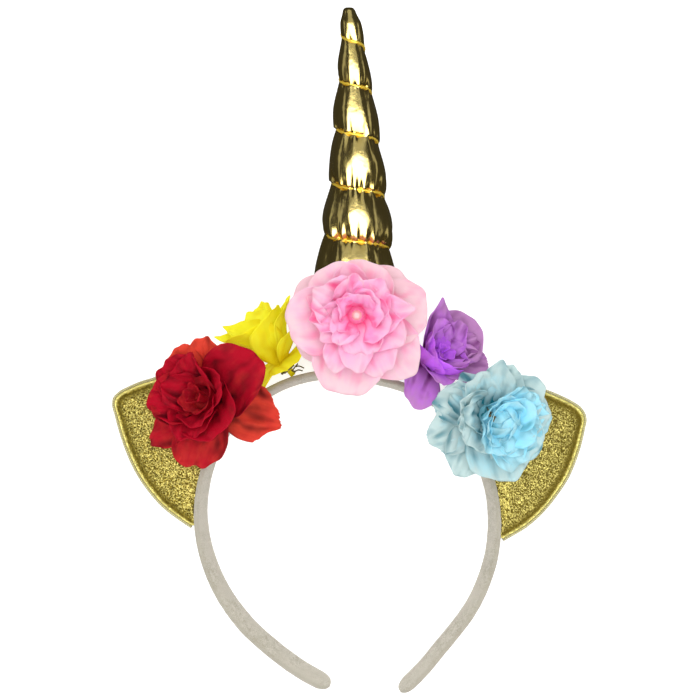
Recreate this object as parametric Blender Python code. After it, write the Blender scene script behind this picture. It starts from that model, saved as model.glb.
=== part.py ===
"""A unicorn horn headband, lying on its back with the flowers up.

It is modelled in millimetres in the headband's own frame: x to the right, y towards the
horn's tip and z to the front. An empty then lays it on the table, where the horn's foot
holds the crown up and the tips of the band and of the ears rest.
"""

import math

import bmesh
import bpy
import numpy as np
from mathutils import Vector

MM = 0.001
SEAT_GAP = 0.3

# How it lies: the slope of the band's plane and the place of that plane's origin over the table
REST_SLOPE = math.radians(4.77)
REST_SHIFT = (0.4, 1.71, 18.28)

# Band: flat strip bent round the head
HEAD_CENTRE = (-1.1, -71.4)
BAND_WIDTH = 12.0
BAND_THICKNESS = 3.0
BAND_CORNER = 0.9
BAND_CROWN = 0.2
# Share of the half thickness that a long edge's rounding takes
BAND_EDGE_SHARE = 0.55
# Thickness left at the very end of a tip, as a share
BAND_TIP_SHARE = 0.55
BAND_SECTIONS = 40
# Where the rounded tips have their sections, in degrees of a quarter circle
BAND_TIP_STEPS = (14.0, 34.0, 56.0, 76.0)
# Round the head from the right tip to the left one: angle, radius to the strip's middle, and
# flare of its front edge
BAND_PATH = (
    # degrees, mm, degrees
    (-73.8, 80.8, 17.0),
    (-55.0, 71.1, 16.0),
    (-34.0, 67.1, 16.0),
    (-14.0, 64.8, 17.0),
    (14.0, 62.8, 16.0),
    (48.0, 62.2, 16.0),
    (78.0, 59.9, 15.0),
    (106.0, 62.2, 15.0),
    (140.0, 64.0, 16.0),
    (176.0, 63.8, 18.0),
    (205.0, 63.9, 22.0),
    (227.0, 65.5, 25.0),
    (241.0, 67.6, 24.0),
    (264.3, 75.3, 22.0),
)

# Horn: a stuffed cone drawn in by a spiral of thread, its grooves numbered from the tip
HORN_TOP = 146.4
HORN_BASE = -11.0
HORN_TIP_RADIUS = 3.7
HORN_TAPER = 0.1265
# Below its widest puff it is drawn in towards the band
HORN_WIDEST = 20.0
HORN_FOOT_TAPER = 0.13
# Length that each end's rounding takes, and how far outside the end that rounding starts
HORN_TIP_ROUNDING = (3.2, 0.4)
HORN_FOOT_ROUNDING = (7.0, 2.2)
HORN_GROOVE_DEPTH = 0.17
# Fullness of a puff: under 1 it fills out close to the thread
HORN_PUFF_POWER = 0.6
HORN_SWAY = 0.1
HORN_SIDES = 20
HORN_ROWS_A_PUFF = 6
# Height of each groove where it crosses the front
HORN_GROOVES = (152.0, 132.0, 113.3, 92.5, 69.4, 47.3, 23.6, -1.5, -28.0)
# The slight bend of its axis: height and sideways place
HORN_AXIS = (
    (-11.0, 1.5), (30.0, 2.4), (64.0, 2.9), (100.0, 2.4), (120.0, 1.6), (137.0, 0.5), (146.4, -0.5),
)

# Ears: flat padded panels that lean back from the band
EAR_THICKNESS = 6.4
EAR_EDGE_RADIUS = 1.1
EAR_EDGE_SIDES = 6
EAR_HINGE_DEPTH = 0.6
EAR_RINGS = 3
EAR_FOOT_STEPS = 9
# How full the padding stands: its share of the thickness near the rim, and the power of its swell
EAR_FULLNESS = 0.8
EAR_SWELL_POWER = 0.7
# Outline round the free sides, from the lower foot to the upper one, as seen from the front
LEFT_EAR = {
    "outline": (
        (-69.3, -77.3), (-75.7, -73.4), (-81.8, -69.0), (-87.5, -63.2), (-91.7, -57.9),
        (-95.6, -51.4), (-98.9, -44.1), (-101.6, -36.5), (-103.5, -29.8), (-104.7, -25.0),
        (-104.2, -22.1), (-101.8, -19.5), (-97.1, -16.9), (-92.4, -14.8), (-87.0, -13.1),
        (-77.7, -9.8), (-68.1, -8.7), (-58.5, -10.7), (-50.2, -15.5), (-44.5, -21.0),
    ),
    # Where its foot wraps the band, from the upper end to the lower one
    "foot_angles": (130.0, 184.0),
    "lean": math.radians(16.75),
}
RIGHT_EAR = {
    "outline": (
        (66.7, -83.0), (77.3, -77.3), (84.5, -71.3), (90.7, -64.2), (95.7, -57.0), (99.2, -49.4),
        (101.5, -42.6), (103.2, -35.5), (103.9, -31.9), (103.4, -29.2), (101.5, -26.3), (97.9, -23.7),
        (92.5, -20.9), (87.9, -18.9), (78.4, -15.5), (67.8, -13.6), (57.4, -14.3), (48.6, -18.0),
        (42.5, -23.4),
    ),
    "foot_angles": (49.0, -9.0),
    "lean": math.radians(15.95),
}

# Flowers: where the petals spring from, which way the flower and its core face, and where it sits
PETAL_THICKNESS = 1.1
# A petal's half width as shares of its full one: at the foot and at the rim, and where it is full
PETAL_FOOT = 0.42
PETAL_RIM = 0.58
PETAL_WIDEST = 0.66
# Distance from the flower's axis to a petal's foot
PETAL_START = 1.2
# Petals that spring higher than this are inner ones
INNER_RISE = 2.0
# Places along the stem and over the dome as shares, with the radius as a share of each
STEM_PROFILE = ((0.0, 0.7), (0.6, 0.85), (1.0, 1.0))
DOME_PROFILE = ((0.3, 1.0), (0.65, 0.86), (0.9, 0.55), (1.0, 0.22))
STEM_SIDES = 10
PETAL_COLUMNS = ("turn", "length", "width", "opens", "ends", "rise", "wrap")
FLOWERS = {
    "pink_flower": {
        "heart": (2.7, 17.1, 21.5),
        "facing": (0.0, 0.04, 1.0),
        "core_facing": (0.0, 0.04, 1.0),
        "seat": (2.3, 12.0, 13.0),
        "stem": 8.5,
        "dome": (10.0, 13.6),
        "petals": (
            # degrees round, mm, mm, degrees off the axis at foot and rim, mm along the axis, degrees
            (1.0, 30.5, 29.0, 58.0, 80.0, 0.6, 30.0),
            (-44.0, 35.0, 26.0, 60.0, 84.0, 0.0, 26.0),
            (-99.0, 35.0, 32.0, 60.0, 84.0, 0.6, 30.0),
            (-141.0, 30.0, 24.0, 62.0, 86.0, 0.0, 26.0),
            (-170.0, 31.5, 28.0, 58.0, 80.0, 0.8, 30.0),
            (128.0, 26.0, 28.0, 58.0, 78.0, 0.0, 32.0),
            (76.0, 24.5, 27.0, 58.0, 76.0, 0.8, 32.0),
            (38.0, 25.5, 23.0, 62.0, 82.0, 0.0, 28.0),
            (40.0, 21.0, 22.0, 28.0, 60.0, 3.6, 42.0),
            (-38.0, 26.0, 22.0, 34.0, 68.0, 3.6, 38.0),
            (-112.0, 24.0, 22.0, 34.0, 70.0, 3.6, 38.0),
            (160.0, 22.0, 22.0, 30.0, 62.0, 3.6, 42.0),
        ),
    },
    "red_flower": {
        "heart": (-58.2, -21.8, 9.0),
        "facing": (-0.20, 0.12, 0.97),
        "core_facing": (-0.46, 0.24, 0.85),
        "seat": (-52.5, -28.5, 2.0),
        "stem": 7.0,
        "dome": (9.5, 18.0),
        "petals": (
            (106.0, 27.0, 26.0, 58.0, 66.0, 0.8, 30.0),
            (46.0, 28.5, 30.0, 48.0, 62.0, 0.2, 42.0),
            (-12.0, 32.5, 22.0, 70.0, 82.0, 0.0, 24.0),
            (-72.0, 27.5, 24.0, 64.0, 80.0, 0.6, 32.0),
            (-118.0, 29.0, 25.0, 66.0, 82.0, 0.0, 32.0),
            (166.0, 25.5, 31.0, 52.0, 66.0, 0.6, 42.0),
            (-32.0, 20.5, 22.0, 30.0, 46.0, 4.0, 56.0),
            (190.0, 20.0, 20.0, 24.0, 34.0, 4.0, 58.0),
            (85.0, 20.0, 22.0, 22.0, 32.0, 4.0, 58.0),
        ),
    },
    "yellow_flower": {
        "heart": (-29.0, -4.4, 2.0),
        "facing": (-0.60, 0.74, 0.14),
        "core_facing": (-0.60, 0.74, 0.14),
        "seat": (-24.6, -10.6, 1.0),
        "stem": 3.6,
        "dome": (7.0, 22.0),
        "petals": (
            (-6.0, 24.5, 20.0, 26.0, 22.0, 0.0, 44.0),
            (90.0, 25.0, 22.0, 26.0, 18.0, 0.3, 44.0),
            (178.0, 27.5, 20.0, 36.0, 36.0, 0.0, 40.0),
            (-92.0, 26.0, 23.0, 30.0, 20.0, 0.4, 44.0),
            (205.0, 14.0, 14.0, 72.0, 120.0, 0.0, 26.0),
        ),
    },
    "purple_flower": {
        "heart": (34.0, -4.0, 6.0),
        "facing": (0.46, 0.40, 0.79),
        "core_facing": (0.46, 0.40, 0.79),
        "seat": (28.6, -14.6, 0.0),
        "stem": 5.0,
        "dome": (7.5, 16.0),
        "petals": (
            (102.0, 26.5, 20.0, 36.0, 54.0, 0.0, 36.0),
            (36.0, 25.5, 24.0, 42.0, 58.0, 0.6, 36.0),
            (-24.0, 20.0, 20.0, 40.0, 54.0, 0.0, 38.0),
            (-84.0, 15.0, 17.0, 40.0, 54.0, 0.6, 40.0),
            (-134.0, 22.5, 18.0, 80.0, 94.0, 0.0, 26.0),
            (168.0, 19.0, 18.0, 36.0, 48.0, 0.6, 44.0),
            (-105.0, 18.0, 16.0, 16.0, 26.0, 4.0, 56.0),
            (60.0, 17.0, 16.0, 12.0, 22.0, 4.0, 56.0),
        ),
    },
    "blue_flower": {
        "heart": (57.6, -27.6, 8.5),
        "facing": (0.12, 0.03, 0.99),
        "core_facing": (0.34, -0.05, 0.94),
        "seat": (52.0, -34.0, 2.0),
        "stem": 7.0,
        "dome": (10.5, 15.5),
        "petals": (
            (0.0, 28.0, 27.0, 58.0, 70.0, 0.6, 32.0),
            (46.0, 29.5, 24.0, 56.0, 70.0, 0.0, 32.0),
            (88.0, 28.5, 25.0, 46.0, 62.0, 1.2, 32.0),
            (133.0, 28.5, 23.0, 44.0, 62.0, 1.8, 32.0),
            (188.0, 28.5, 27.0, 60.0, 76.0, 0.6, 30.0),
            (236.0, 30.0, 25.0, 62.0, 76.0, 0.0, 30.0),
            (-74.0, 31.0, 29.0, 60.0, 78.0, 0.6, 30.0),
            (24.0, 21.0, 20.0, 24.0, 52.0, 3.8, 44.0),
            (-56.0, 21.0, 20.0, 26.0, 56.0, 3.8, 44.0),
            (-145.0, 19.5, 20.0, 26.0, 52.0, 3.8, 44.0),
            (110.0, 20.0, 20.0, 22.0, 46.0, 3.8, 44.0),
        ),
    },
}

# Rhinestone in the pink flower: a round stone with a table and two rows of eight facets
GEM_RADIUS = 2.2
GEM_SIDES = 8
# Height over its seat and radius as shares of the stone's radius, and the ring's turn in facets
GEM_RINGS = ((0.0, 0.45, 0.0), (0.55, 1.0, 0.5), (0.72, 1.0, 0.5), (1.15, 0.56, 0.0))

COLOURS = {
    # linear colour, roughness, metallic
    "velvet": ((0.62, 0.60, 0.56), 0.95, 0.0),
    "gold_foil": ((0.83, 0.58, 0.17), 0.2, 1.0),
    "gold_glitter": ((0.62, 0.46, 0.10), 0.4, 0.9),
    "gold_edging": ((0.72, 0.60, 0.25), 0.6, 0.3),
    "pink_cloth": ((0.95, 0.42, 0.66), 0.8, 0.0),
    "red_satin": ((0.55, 0.01, 0.01), 0.6, 0.0),
    "yellow_cloth": ((0.92, 0.86, 0.02), 0.8, 0.0),
    "purple_cloth": ((0.38, 0.14, 0.66), 0.8, 0.0),
    "blue_cloth": ((0.28, 0.66, 0.86), 0.8, 0.0),
    "rhinestone": ((0.95, 0.80, 0.86), 0.05, 0.0),
}


SMOOTH_BELOW = math.radians(40.0)


def clear_scene():
    for thing in list(bpy.data.objects):
        bpy.data.objects.remove(thing, do_unlink=True)


def material(name):
    found = bpy.data.materials.get(name)
    if found:
        return found
    colour, roughness, metallic = COLOURS[name]
    made = bpy.data.materials.new(name)
    made.use_nodes = True
    shader = made.node_tree.nodes["Principled BSDF"]
    shader.inputs["Base Color"].default_value = (*colour, 1.0)
    shader.inputs["Roughness"].default_value = roughness
    shader.inputs["Metallic"].default_value = metallic
    return made


def object_from(name, points, faces, finish=None):
    """A mesh object from points in millimetres, welded, with its faces turned out."""
    mesh = bpy.data.meshes.new(name)
    mesh.from_pydata([tuple(c * MM for c in point) for point in points], [], faces)
    build = bmesh.new()
    build.from_mesh(mesh)
    bmesh.ops.remove_doubles(build, verts=build.verts, dist=0.002 * MM)
    holes = [edge for edge in build.edges if edge.is_boundary]
    if holes:
        bmesh.ops.holes_fill(build, edges=holes, sides=0)
    bmesh.ops.recalc_face_normals(build, faces=build.faces)
    build.to_mesh(mesh)
    build.free()
    made = bpy.data.objects.new(name, mesh)
    bpy.context.scene.collection.objects.link(made)
    if finish:
        mesh.materials.append(material(finish))
        mesh.shade_smooth()
        mesh.set_sharp_from_angle(angle=SMOOTH_BELOW)
    return made


def boolean(target, others, operation):
    """Joins the others to the target, or cuts them from it, and removes the ones that were joined."""
    group = bpy.data.collections.new("tools")
    for other in others:
        group.objects.link(other)
    change = target.modifiers.new(operation.lower(), "BOOLEAN")
    change.operation = operation
    change.solver = "EXACT"
    change.operand_type = "COLLECTION"
    change.collection = group
    change.use_self = operation == "UNION"
    bpy.context.view_layer.update()
    seen = target.evaluated_get(bpy.context.evaluated_depsgraph_get())
    result = bpy.data.meshes.new_from_object(seen)
    target.modifiers.clear()
    finish = target.data.materials[:]
    target.data = result
    if finish:
        result.materials.clear()
        for item in finish:
            result.materials.append(item)
    bpy.data.collections.remove(group)
    keep_largest(target)


def keep_largest(target):
    """Drops the loose scraps and the sealed pockets that a Boolean leaves."""
    build = bmesh.new()
    build.from_mesh(target.data)
    shells, seen = [], set()
    for start in build.faces:
        if start in seen:
            continue
        shell, waiting = {start}, [start]
        while waiting:
            for edge in waiting.pop().edges:
                if len(edge.link_faces) == 2:
                    found = set(edge.link_faces) - shell
                    shell |= found
                    waiting += found
        seen |= shell
        shells.append(shell)
    largest = max(shells, key=len)
    bmesh.ops.delete(build, geom=[face for face in build.faces if face not in largest], context="FACES")
    build.to_mesh(target.data)
    build.free()


def smooth_value(table, column, at):
    """A smooth curve through one column of a table, whose first column rises."""
    x = np.array([row[0] for row in table])
    y = np.array([row[column] for row in table])
    slope = np.gradient(y, x)
    at = np.clip(at, x[0], x[-1])
    i = np.clip(np.searchsorted(x, at) - 1, 0, len(x) - 2)
    span = x[i + 1] - x[i]
    f = (at - x[i]) / span
    return (
        (2 * f**3 - 3 * f**2 + 1) * y[i]
        + (f**3 - 2 * f**2 + f) * span * slope[i]
        + (3 * f**2 - 2 * f**3) * y[i + 1]
        + (f**3 - f**2) * span * slope[i + 1]
    )


def band_middle(angle):
    """The middle of the strip at an angle in degrees round the head."""
    radius = smooth_value(BAND_PATH, 1, angle)
    turn = np.radians(angle)
    x, y = HEAD_CENTRE
    return np.array((x + radius * np.cos(turn), y + radius * np.sin(turn), 0.0))


def band_frame(angle):
    """The strip's middle, its width direction (to the front) and its thickness direction (outward)."""
    step = 0.5
    along = band_middle(angle + step) - band_middle(angle - step)
    along /= np.linalg.norm(along)
    outward = np.array((along[1], -along[0], 0.0))
    front = np.array((0.0, 0.0, 1.0))
    flare = np.radians(smooth_value(BAND_PATH, 2, angle))
    across = front * np.cos(flare) + outward * np.sin(flare)
    through = outward * np.cos(flare) - front * np.sin(flare)
    return band_middle(angle), across, through


def tube_faces(rings, sides):
    """Quads between neighbouring rings of points, and a cap at each end."""
    faces = []
    for here in range(0, (rings - 1) * sides, sides):
        there = here + sides
        for k in range(sides):
            after = (k + 1) % sides
            faces.append((here + k, here + after, there + after, there + k))
    faces.append(tuple(range(sides)))
    faces.append(tuple((rings - 1) * sides + k for k in range(sides)))
    return faces


def band_section(width, thickness):
    """Rounded rectangle, flat inside and slightly domed outside: across and through."""
    w, t = width / 2, thickness / 2
    c = min(BAND_CORNER, 0.8 * w)
    inner = t * (1 - BAND_EDGE_SHARE)
    return (
        (w, -inner), (w, inner), (w - c, t), (0.0, t + BAND_CROWN), (c - w, t),
        (-w, inner), (-w, -inner), (c - w, -t), (w - c, -t),
    )


def make_band(name, finish=None, grow=0.0):
    """Sections along the path, closer together where the tips are rounded."""
    first, last = BAND_PATH[0][0], BAND_PATH[-1][0]
    first_degrees, last_degrees = (math.degrees(1 / row[1]) for row in (BAND_PATH[0], BAND_PATH[-1]))
    half = BAND_WIDTH / 2
    tip = [(half * (1 - math.cos(b)), math.sin(b)) for b in np.radians(BAND_TIP_STEPS)]
    rings = [(first + back * first_degrees, share) for back, share in tip]
    clear = half * first_degrees
    rings += [(angle, 1.0) for angle in np.linspace(first + clear, last - clear, BAND_SECTIONS)]
    rings += [(last - back * last_degrees, share) for back, share in reversed(tip)]
    points = []
    for angle, share in rings:
        middle, across, through = band_frame(angle)
        width = BAND_WIDTH * share + 2 * grow
        thickness = BAND_THICKNESS * (BAND_TIP_SHARE + (1 - BAND_TIP_SHARE) * share) + 2 * grow
        section = band_section(width, thickness)
        points += [middle + a * across + t * through for a, t in section]
    return object_from(name, points, tube_faces(len(rings), len(section)), finish)


def horn_turn(share):
    """Grooves that the spiral has gone down at a share of a turn from the front to the right."""
    return share - HORN_SWAY * math.sin(2 * math.pi * share)


def horn_height(grooves_down):
    return float(np.interp(grooves_down, range(len(HORN_GROOVES)), HORN_GROOVES))


def horn_count(height):
    return float(np.interp(-height, [-g for g in HORN_GROOVES], range(len(HORN_GROOVES))))


def end_rounding(distance, rounding):
    """Share of the radius that is left at a distance from one of the horn's ends."""
    length, start = rounding
    share = min(1.0, (max(0.0, distance) + start) / length)
    return math.sqrt(1 - (1 - share) ** 2)


def horn_outer(height):
    """Radius over the puffs: a straight taper, drawn in at the foot and rounded at both ends."""
    radius = HORN_TIP_RADIUS + HORN_TAPER * (HORN_TOP - max(height, HORN_WIDEST))
    radius -= HORN_FOOT_TAPER * max(0.0, HORN_WIDEST - height)
    radius *= end_rounding(HORN_TOP - height, HORN_TIP_ROUNDING)
    return radius * end_rounding(height - HORN_BASE, HORN_FOOT_ROUNDING)


def horn_point(grooves_down, phase, share, grow):
    """A point on the horn, at a height in grooves from the tip, a place between two grooves and a turn."""
    height = horn_height(grooves_down)
    puff = abs(math.sin(math.pi * phase)) ** HORN_PUFF_POWER
    radius = horn_outer(height) * (1 - HORN_GROOVE_DEPTH * (1 - puff)) + grow
    turn = 2 * math.pi * share
    sideways = float(smooth_value(HORN_AXIS, 1, height))
    return (sideways + radius * math.sin(turn), height, radius * math.cos(turn))


def make_horn(name, finish=None, grow=0.0):
    """Rows run along the spiral, so that each groove is one row, and are clipped at both ends."""
    top, base = horn_count(HORN_TOP), horn_count(HORN_BASE)
    rows = (math.ceil(base - top) + 4) * HORN_ROWS_A_PUFF
    points, faces = [], []
    for row in range(rows):
        phase = math.floor(top) - 1 + row / HORN_ROWS_A_PUFF
        for side in range(HORN_SIDES):
            share = side / HORN_SIDES - 0.5
            down = min(max(phase + horn_turn(share), top), base)
            points.append(horn_point(down, down - horn_turn(share), share, grow))
    for row in range(rows - 1):
        for side in range(HORN_SIDES):
            here = row * HORN_SIDES + side
            there = here + HORN_SIDES
            if side < HORN_SIDES - 1:
                faces.append((here, here + 1, there + 1, there))
            elif HORN_ROWS_A_PUFF <= row < rows - HORN_ROWS_A_PUFF - 1:
                start = (row - HORN_ROWS_A_PUFF) * HORN_SIDES
                faces.append((here, start, start + HORN_SIDES, there))
    return object_from(name, points, faces, finish)


def hinge_of(ear):
    """The lower end of the ear's hinge, and the flat direction away from the hinge."""
    low, high = Vector(ear["outline"][0]), Vector(ear["outline"][-1])
    along = (high - low).normalized()
    away = Vector((along.y, -along.x))
    tip = max((Vector(p) for p in ear["outline"]), key=lambda p: (p - low).length)
    if away.dot(tip - low) < 0:
        away.negate()
    return low, away


def ear_depth(ear, point):
    """How far in front of the band's plane the ear's middle surface is."""
    low, away = hinge_of(ear)
    return EAR_HINGE_DEPTH - math.tan(ear["lean"]) * away.dot(Vector(point) - low)


def ear_normal(ear):
    _, away = hinge_of(ear)
    lean = math.tan(ear["lean"])
    return Vector((lean * away.x, lean * away.y, 1.0)).normalized()


def inset(outline, distance):
    """The open outline moved inward by a distance."""
    points = np.array(outline)
    along = np.gradient(points, axis=0)
    along /= np.linalg.norm(along, axis=1)[:, None]
    normal = np.column_stack((-along[:, 1], along[:, 0]))
    middle = points.mean(axis=0)
    side = np.sign(((middle - points) * normal).sum())
    return points + side * distance * normal


def make_ear(name, ear, band_room):
    """A padded panel: rings shrink from the outline to the middle while the two faces bulge."""
    free = inset(ear["outline"], 2 * EAR_EDGE_RADIUS + SEAT_GAP)
    foot = [band_middle(angle)[:2] for angle in np.linspace(*ear["foot_angles"], EAR_FOOT_STEPS)]
    loop = np.vstack((free, foot))
    middle = loop.mean(axis=0)
    normal = ear_normal(ear)
    swell = EAR_THICKNESS / 2 - EAR_EDGE_RADIUS
    points, faces = [], []
    for face in (1, -1):
        for ring in range(EAR_RINGS):
            share = ring / EAR_RINGS
            rise = math.sin(share * math.pi / 2) ** EAR_SWELL_POWER
            bulge = EAR_FULLNESS * (EAR_EDGE_RADIUS + swell * rise)
            for flat in loop + (middle - loop) * share:
                points.append(Vector((*flat, ear_depth(ear, flat))) + face * bulge * normal)
        points.append(Vector((*middle, ear_depth(ear, middle))) + face * EAR_THICKNESS / 2 * normal)
    count = len(loop)
    block = count * EAR_RINGS + 1
    for side in (0, block):
        for ring in range(EAR_RINGS - 1):
            for i in range(count):
                j = (i + 1) % count
                here, there = side + ring * count, side + (ring + 1) * count
                faces.append((here + i, here + j, there + j, there + i))
        last = side + (EAR_RINGS - 1) * count
        faces += [(last + i, last + (i + 1) % count, side + block - 1) for i in range(count)]
    faces += [(i, (i + 1) % count, block + (i + 1) % count, block + i) for i in range(count)]
    made = object_from(name, points, faces, "gold_glitter")
    boolean(made, [band_room], "DIFFERENCE")
    return made


def make_ear_edge(name, ear, band_room):
    """The stitched edging: a round cord along the free sides, down to the band."""
    path = inset(ear["outline"], EAR_EDGE_RADIUS)
    normal = np.array(ear_normal(ear))
    centres = np.array([(x, y, ear_depth(ear, (x, y))) for x, y in path])
    along = np.gradient(centres, axis=0)
    along /= np.linalg.norm(along, axis=1)[:, None]
    points = []
    for centre, forward in zip(centres, along):
        side = np.cross(forward, normal)
        for k in range(EAR_EDGE_SIDES):
            turn = 2 * math.pi * (k + 0.5) / EAR_EDGE_SIDES
            points.append(centre + EAR_EDGE_RADIUS * (math.cos(turn) * side + math.sin(turn) * normal))
    made = object_from(name, points, tube_faces(len(centres), EAR_EDGE_SIDES), "gold_edging")
    boolean(made, [band_room], "DIFFERENCE")
    return made


def flower_frame(flower, part="facing"):
    """The right, up and facing directions of the flower or of its core."""
    facing = Vector(flower[part]).normalized()
    right = (Vector((1.0, 0.0, 0.0)) - facing.x * facing).normalized()
    return right, facing.cross(right), facing


def petal_outline(share):
    """Half width along the petal: narrow at the foot, widest past the middle, round at the rim."""
    if share < PETAL_WIDEST:
        return PETAL_FOOT + (1 - PETAL_FOOT) * math.sin(math.pi / 2 * share / PETAL_WIDEST)
    return max(PETAL_RIM, math.sqrt(1 - ((share - PETAL_WIDEST) / (1 - PETAL_WIDEST)) ** 2))


def petal_sheet(flower, petal, rows, columns):
    """The middle surface of one petal, as a grid of points."""
    right, up, facing = flower_frame(flower, "facing" if petal["rise"] < INNER_RISE else "core_facing")
    turn = math.radians(petal["turn"])
    out = math.cos(turn) * right + math.sin(turn) * up
    aside = -math.sin(turn) * right + math.cos(turn) * up
    wrap = math.radians(petal["wrap"])
    bend_radius = petal["width"] / 2 / wrap
    middle = Vector(flower["heart"]) + petal["rise"] * facing + PETAL_START * out
    grid = []
    for row in range(rows + 1):
        share = row / rows
        lean = math.radians(petal["opens"] + (petal["ends"] - petal["opens"]) * share)
        length_way = math.sin(lean) * out + math.cos(lean) * facing
        inward = math.sin(lean) * facing - math.cos(lean) * out
        line = []
        for column in range(columns + 1):
            side = wrap * petal_outline(share) * (2 * column / columns - 1)
            cupped = math.sin(side) * aside + (1 - math.cos(side)) * inward
            line.append(middle + bend_radius * cupped)
        grid.append(line)
        middle = middle + petal["length"] / rows * length_way
    return np.array([[tuple(point) for point in line] for line in grid])


def solid_sheet(name, grid, thickness):
    """A closed solid: the sheet's two faces half a thickness to each side, and its rim."""
    down, across = np.gradient(grid, axis=0), np.gradient(grid, axis=1)
    normal = np.cross(down, across)
    normal /= np.linalg.norm(normal, axis=2)[:, :, None]
    rows, columns = grid.shape[0], grid.shape[1]
    points = [p for side in (0.5, -0.5) for p in (grid + side * thickness * normal).reshape(-1, 3)]
    block = rows * columns
    quads = [
        (r * columns + c, r * columns + c + 1, (r + 1) * columns + c + 1, (r + 1) * columns + c)
        for r in range(rows - 1) for c in range(columns - 1)
    ]
    rim = list(range(columns))
    rim += [r * columns + columns - 1 for r in range(1, rows)]
    rim += [(rows - 1) * columns + c for c in range(columns - 2, -1, -1)]
    rim += [r * columns for r in range(rows - 2, 0, -1)]
    faces = quads + [tuple(i + block for i in reversed(quad)) for quad in quads]
    for i, j in zip(rim, rim[1:] + rim[:1]):
        faces.append((i, j, j + block, i + block))
    return object_from(name, points, faces)


def make_stem(name, flower):
    """The flower's foot, from its seat to its heart, and the crumpled dome of small petals over it."""
    right, up, _ = flower_frame(flower)
    _, _, core = flower_frame(flower, "core_facing")
    seat, heart = Vector(flower["seat"]), Vector(flower["heart"])
    wide, high = flower["dome"]
    rings = [(seat.lerp(heart, share), reach * flower["stem"]) for share, reach in STEM_PROFILE]
    rings += [(heart + share * high * core, reach * wide) for share, reach in DOME_PROFILE]
    points = []
    for centre, radius in rings:
        for k in range(STEM_SIDES):
            # The odd share of a side keeps its edges off the petals' middles
            turn = 2 * math.pi * (k + 0.37) / STEM_SIDES
            points.append(centre + radius * (math.cos(turn) * right + math.sin(turn) * up))
    return object_from(name, points, tube_faces(len(rings), STEM_SIDES))


def make_flower(name, finish, rooms):
    """All the petals and the foot, fused, then cut clear of what the foot sits on."""
    flower = FLOWERS[name]
    made = make_stem(name, flower)
    petals = []
    for number, row in enumerate(flower["petals"]):
        petal = dict(zip(PETAL_COLUMNS, row))
        outer = petal["rise"] < INNER_RISE
        grid = petal_sheet(flower, petal, 4 if outer else 3, 4 if outer else 2)
        petals.append(solid_sheet(f"{name}_petal_{number}", grid, PETAL_THICKNESS))
    boolean(made, petals, "UNION")
    for petal in petals:
        bpy.data.objects.remove(petal, do_unlink=True)
    boolean(made, rooms, "DIFFERENCE")
    made.data.materials.append(material(finish))
    made.data.shade_smooth()
    made.data.set_sharp_from_angle(angle=SMOOTH_BELOW)
    return made


def make_gem():
    """Round stone: table, crown facets, girdle and a cut-off pavilion, in the heart of the pink flower."""
    flower = FLOWERS["pink_flower"]
    _, _, facing = flower_frame(flower, "core_facing")
    foot = Vector(flower["heart"]) + (flower["dome"][1] + SEAT_GAP) * facing
    points, faces = [], []
    for height, radius, shift in GEM_RINGS:
        for k in range(GEM_SIDES):
            turn = 2 * math.pi * (k + shift) / GEM_SIDES
            flat = Vector((math.cos(turn), math.sin(turn), 0.0)) * radius * GEM_RADIUS
            points.append(foot + flat + Vector((0.0, 0.0, height * GEM_RADIUS)))
    for ring in range(len(GEM_RINGS) - 1):
        twist = GEM_RINGS[ring + 1][2] - GEM_RINGS[ring][2]
        for k in range(GEM_SIDES):
            here, there = ring * GEM_SIDES, (ring + 1) * GEM_SIDES
            after = (k + 1) % GEM_SIDES
            if twist > 0:
                faces += [(here + k, here + after, there + k), (here + after, there + after, there + k)]
            elif twist < 0:
                faces += [(here + k, here + after, there + after), (here + k, there + after, there + k)]
            else:
                faces.append((here + k, here + after, there + after, there + k))
    faces.append(tuple(range(GEM_SIDES)))
    faces.append(tuple((len(GEM_RINGS) - 1) * GEM_SIDES + k for k in range(GEM_SIDES)))
    made = object_from("pink_flower_gem", points, faces)
    made.data.materials.append(material("rhinestone"))
    return made


def build():
    clear_scene()
    pieces = [make_band("band", "velvet")]
    band_room = make_band("band_room", grow=SEAT_GAP)
    horn_room = make_horn("horn_room", grow=SEAT_GAP)
    horn = make_horn("horn", "gold_foil")
    boolean(horn, [band_room], "DIFFERENCE")
    pieces.append(horn)
    for side, ear in (("left", LEFT_EAR), ("right", RIGHT_EAR)):
        pieces.append(make_ear(f"{side}_ear", ear, band_room))
        pieces.append(make_ear_edge(f"{side}_ear_edge", ear, band_room))
    for colour, finish in (
        ("pink", "pink_cloth"), ("red", "red_satin"), ("yellow", "yellow_cloth"),
        ("purple", "purple_cloth"), ("blue", "blue_cloth"),
    ):
        pieces.append(make_flower(f"{colour}_flower", finish, [band_room, horn_room]))
    pieces.append(make_gem())
    for room in (band_room, horn_room):
        bpy.data.objects.remove(room, do_unlink=True)
    resting = bpy.data.objects.new("resting", None)
    bpy.context.scene.collection.objects.link(resting)
    resting.location = [c * MM for c in REST_SHIFT]
    resting.rotation_euler = (REST_SLOPE, 0.0, 0.0)
    for piece in pieces:
        piece.parent = resting


build()
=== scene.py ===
"""The looks of a unicorn horn headband: velvet band, foil horn, glitter ears and cloth flowers.

The shapes are worked out in millimetres in the headband's own frame: x to the right, y towards
the horn's tip and z to the front. The same slope and shift as in the part lay them on the table.
"""

import math

import bmesh
import bpy
import numpy as np
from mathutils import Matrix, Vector, noise
from mathutils.bvhtree import BVHTree


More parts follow.
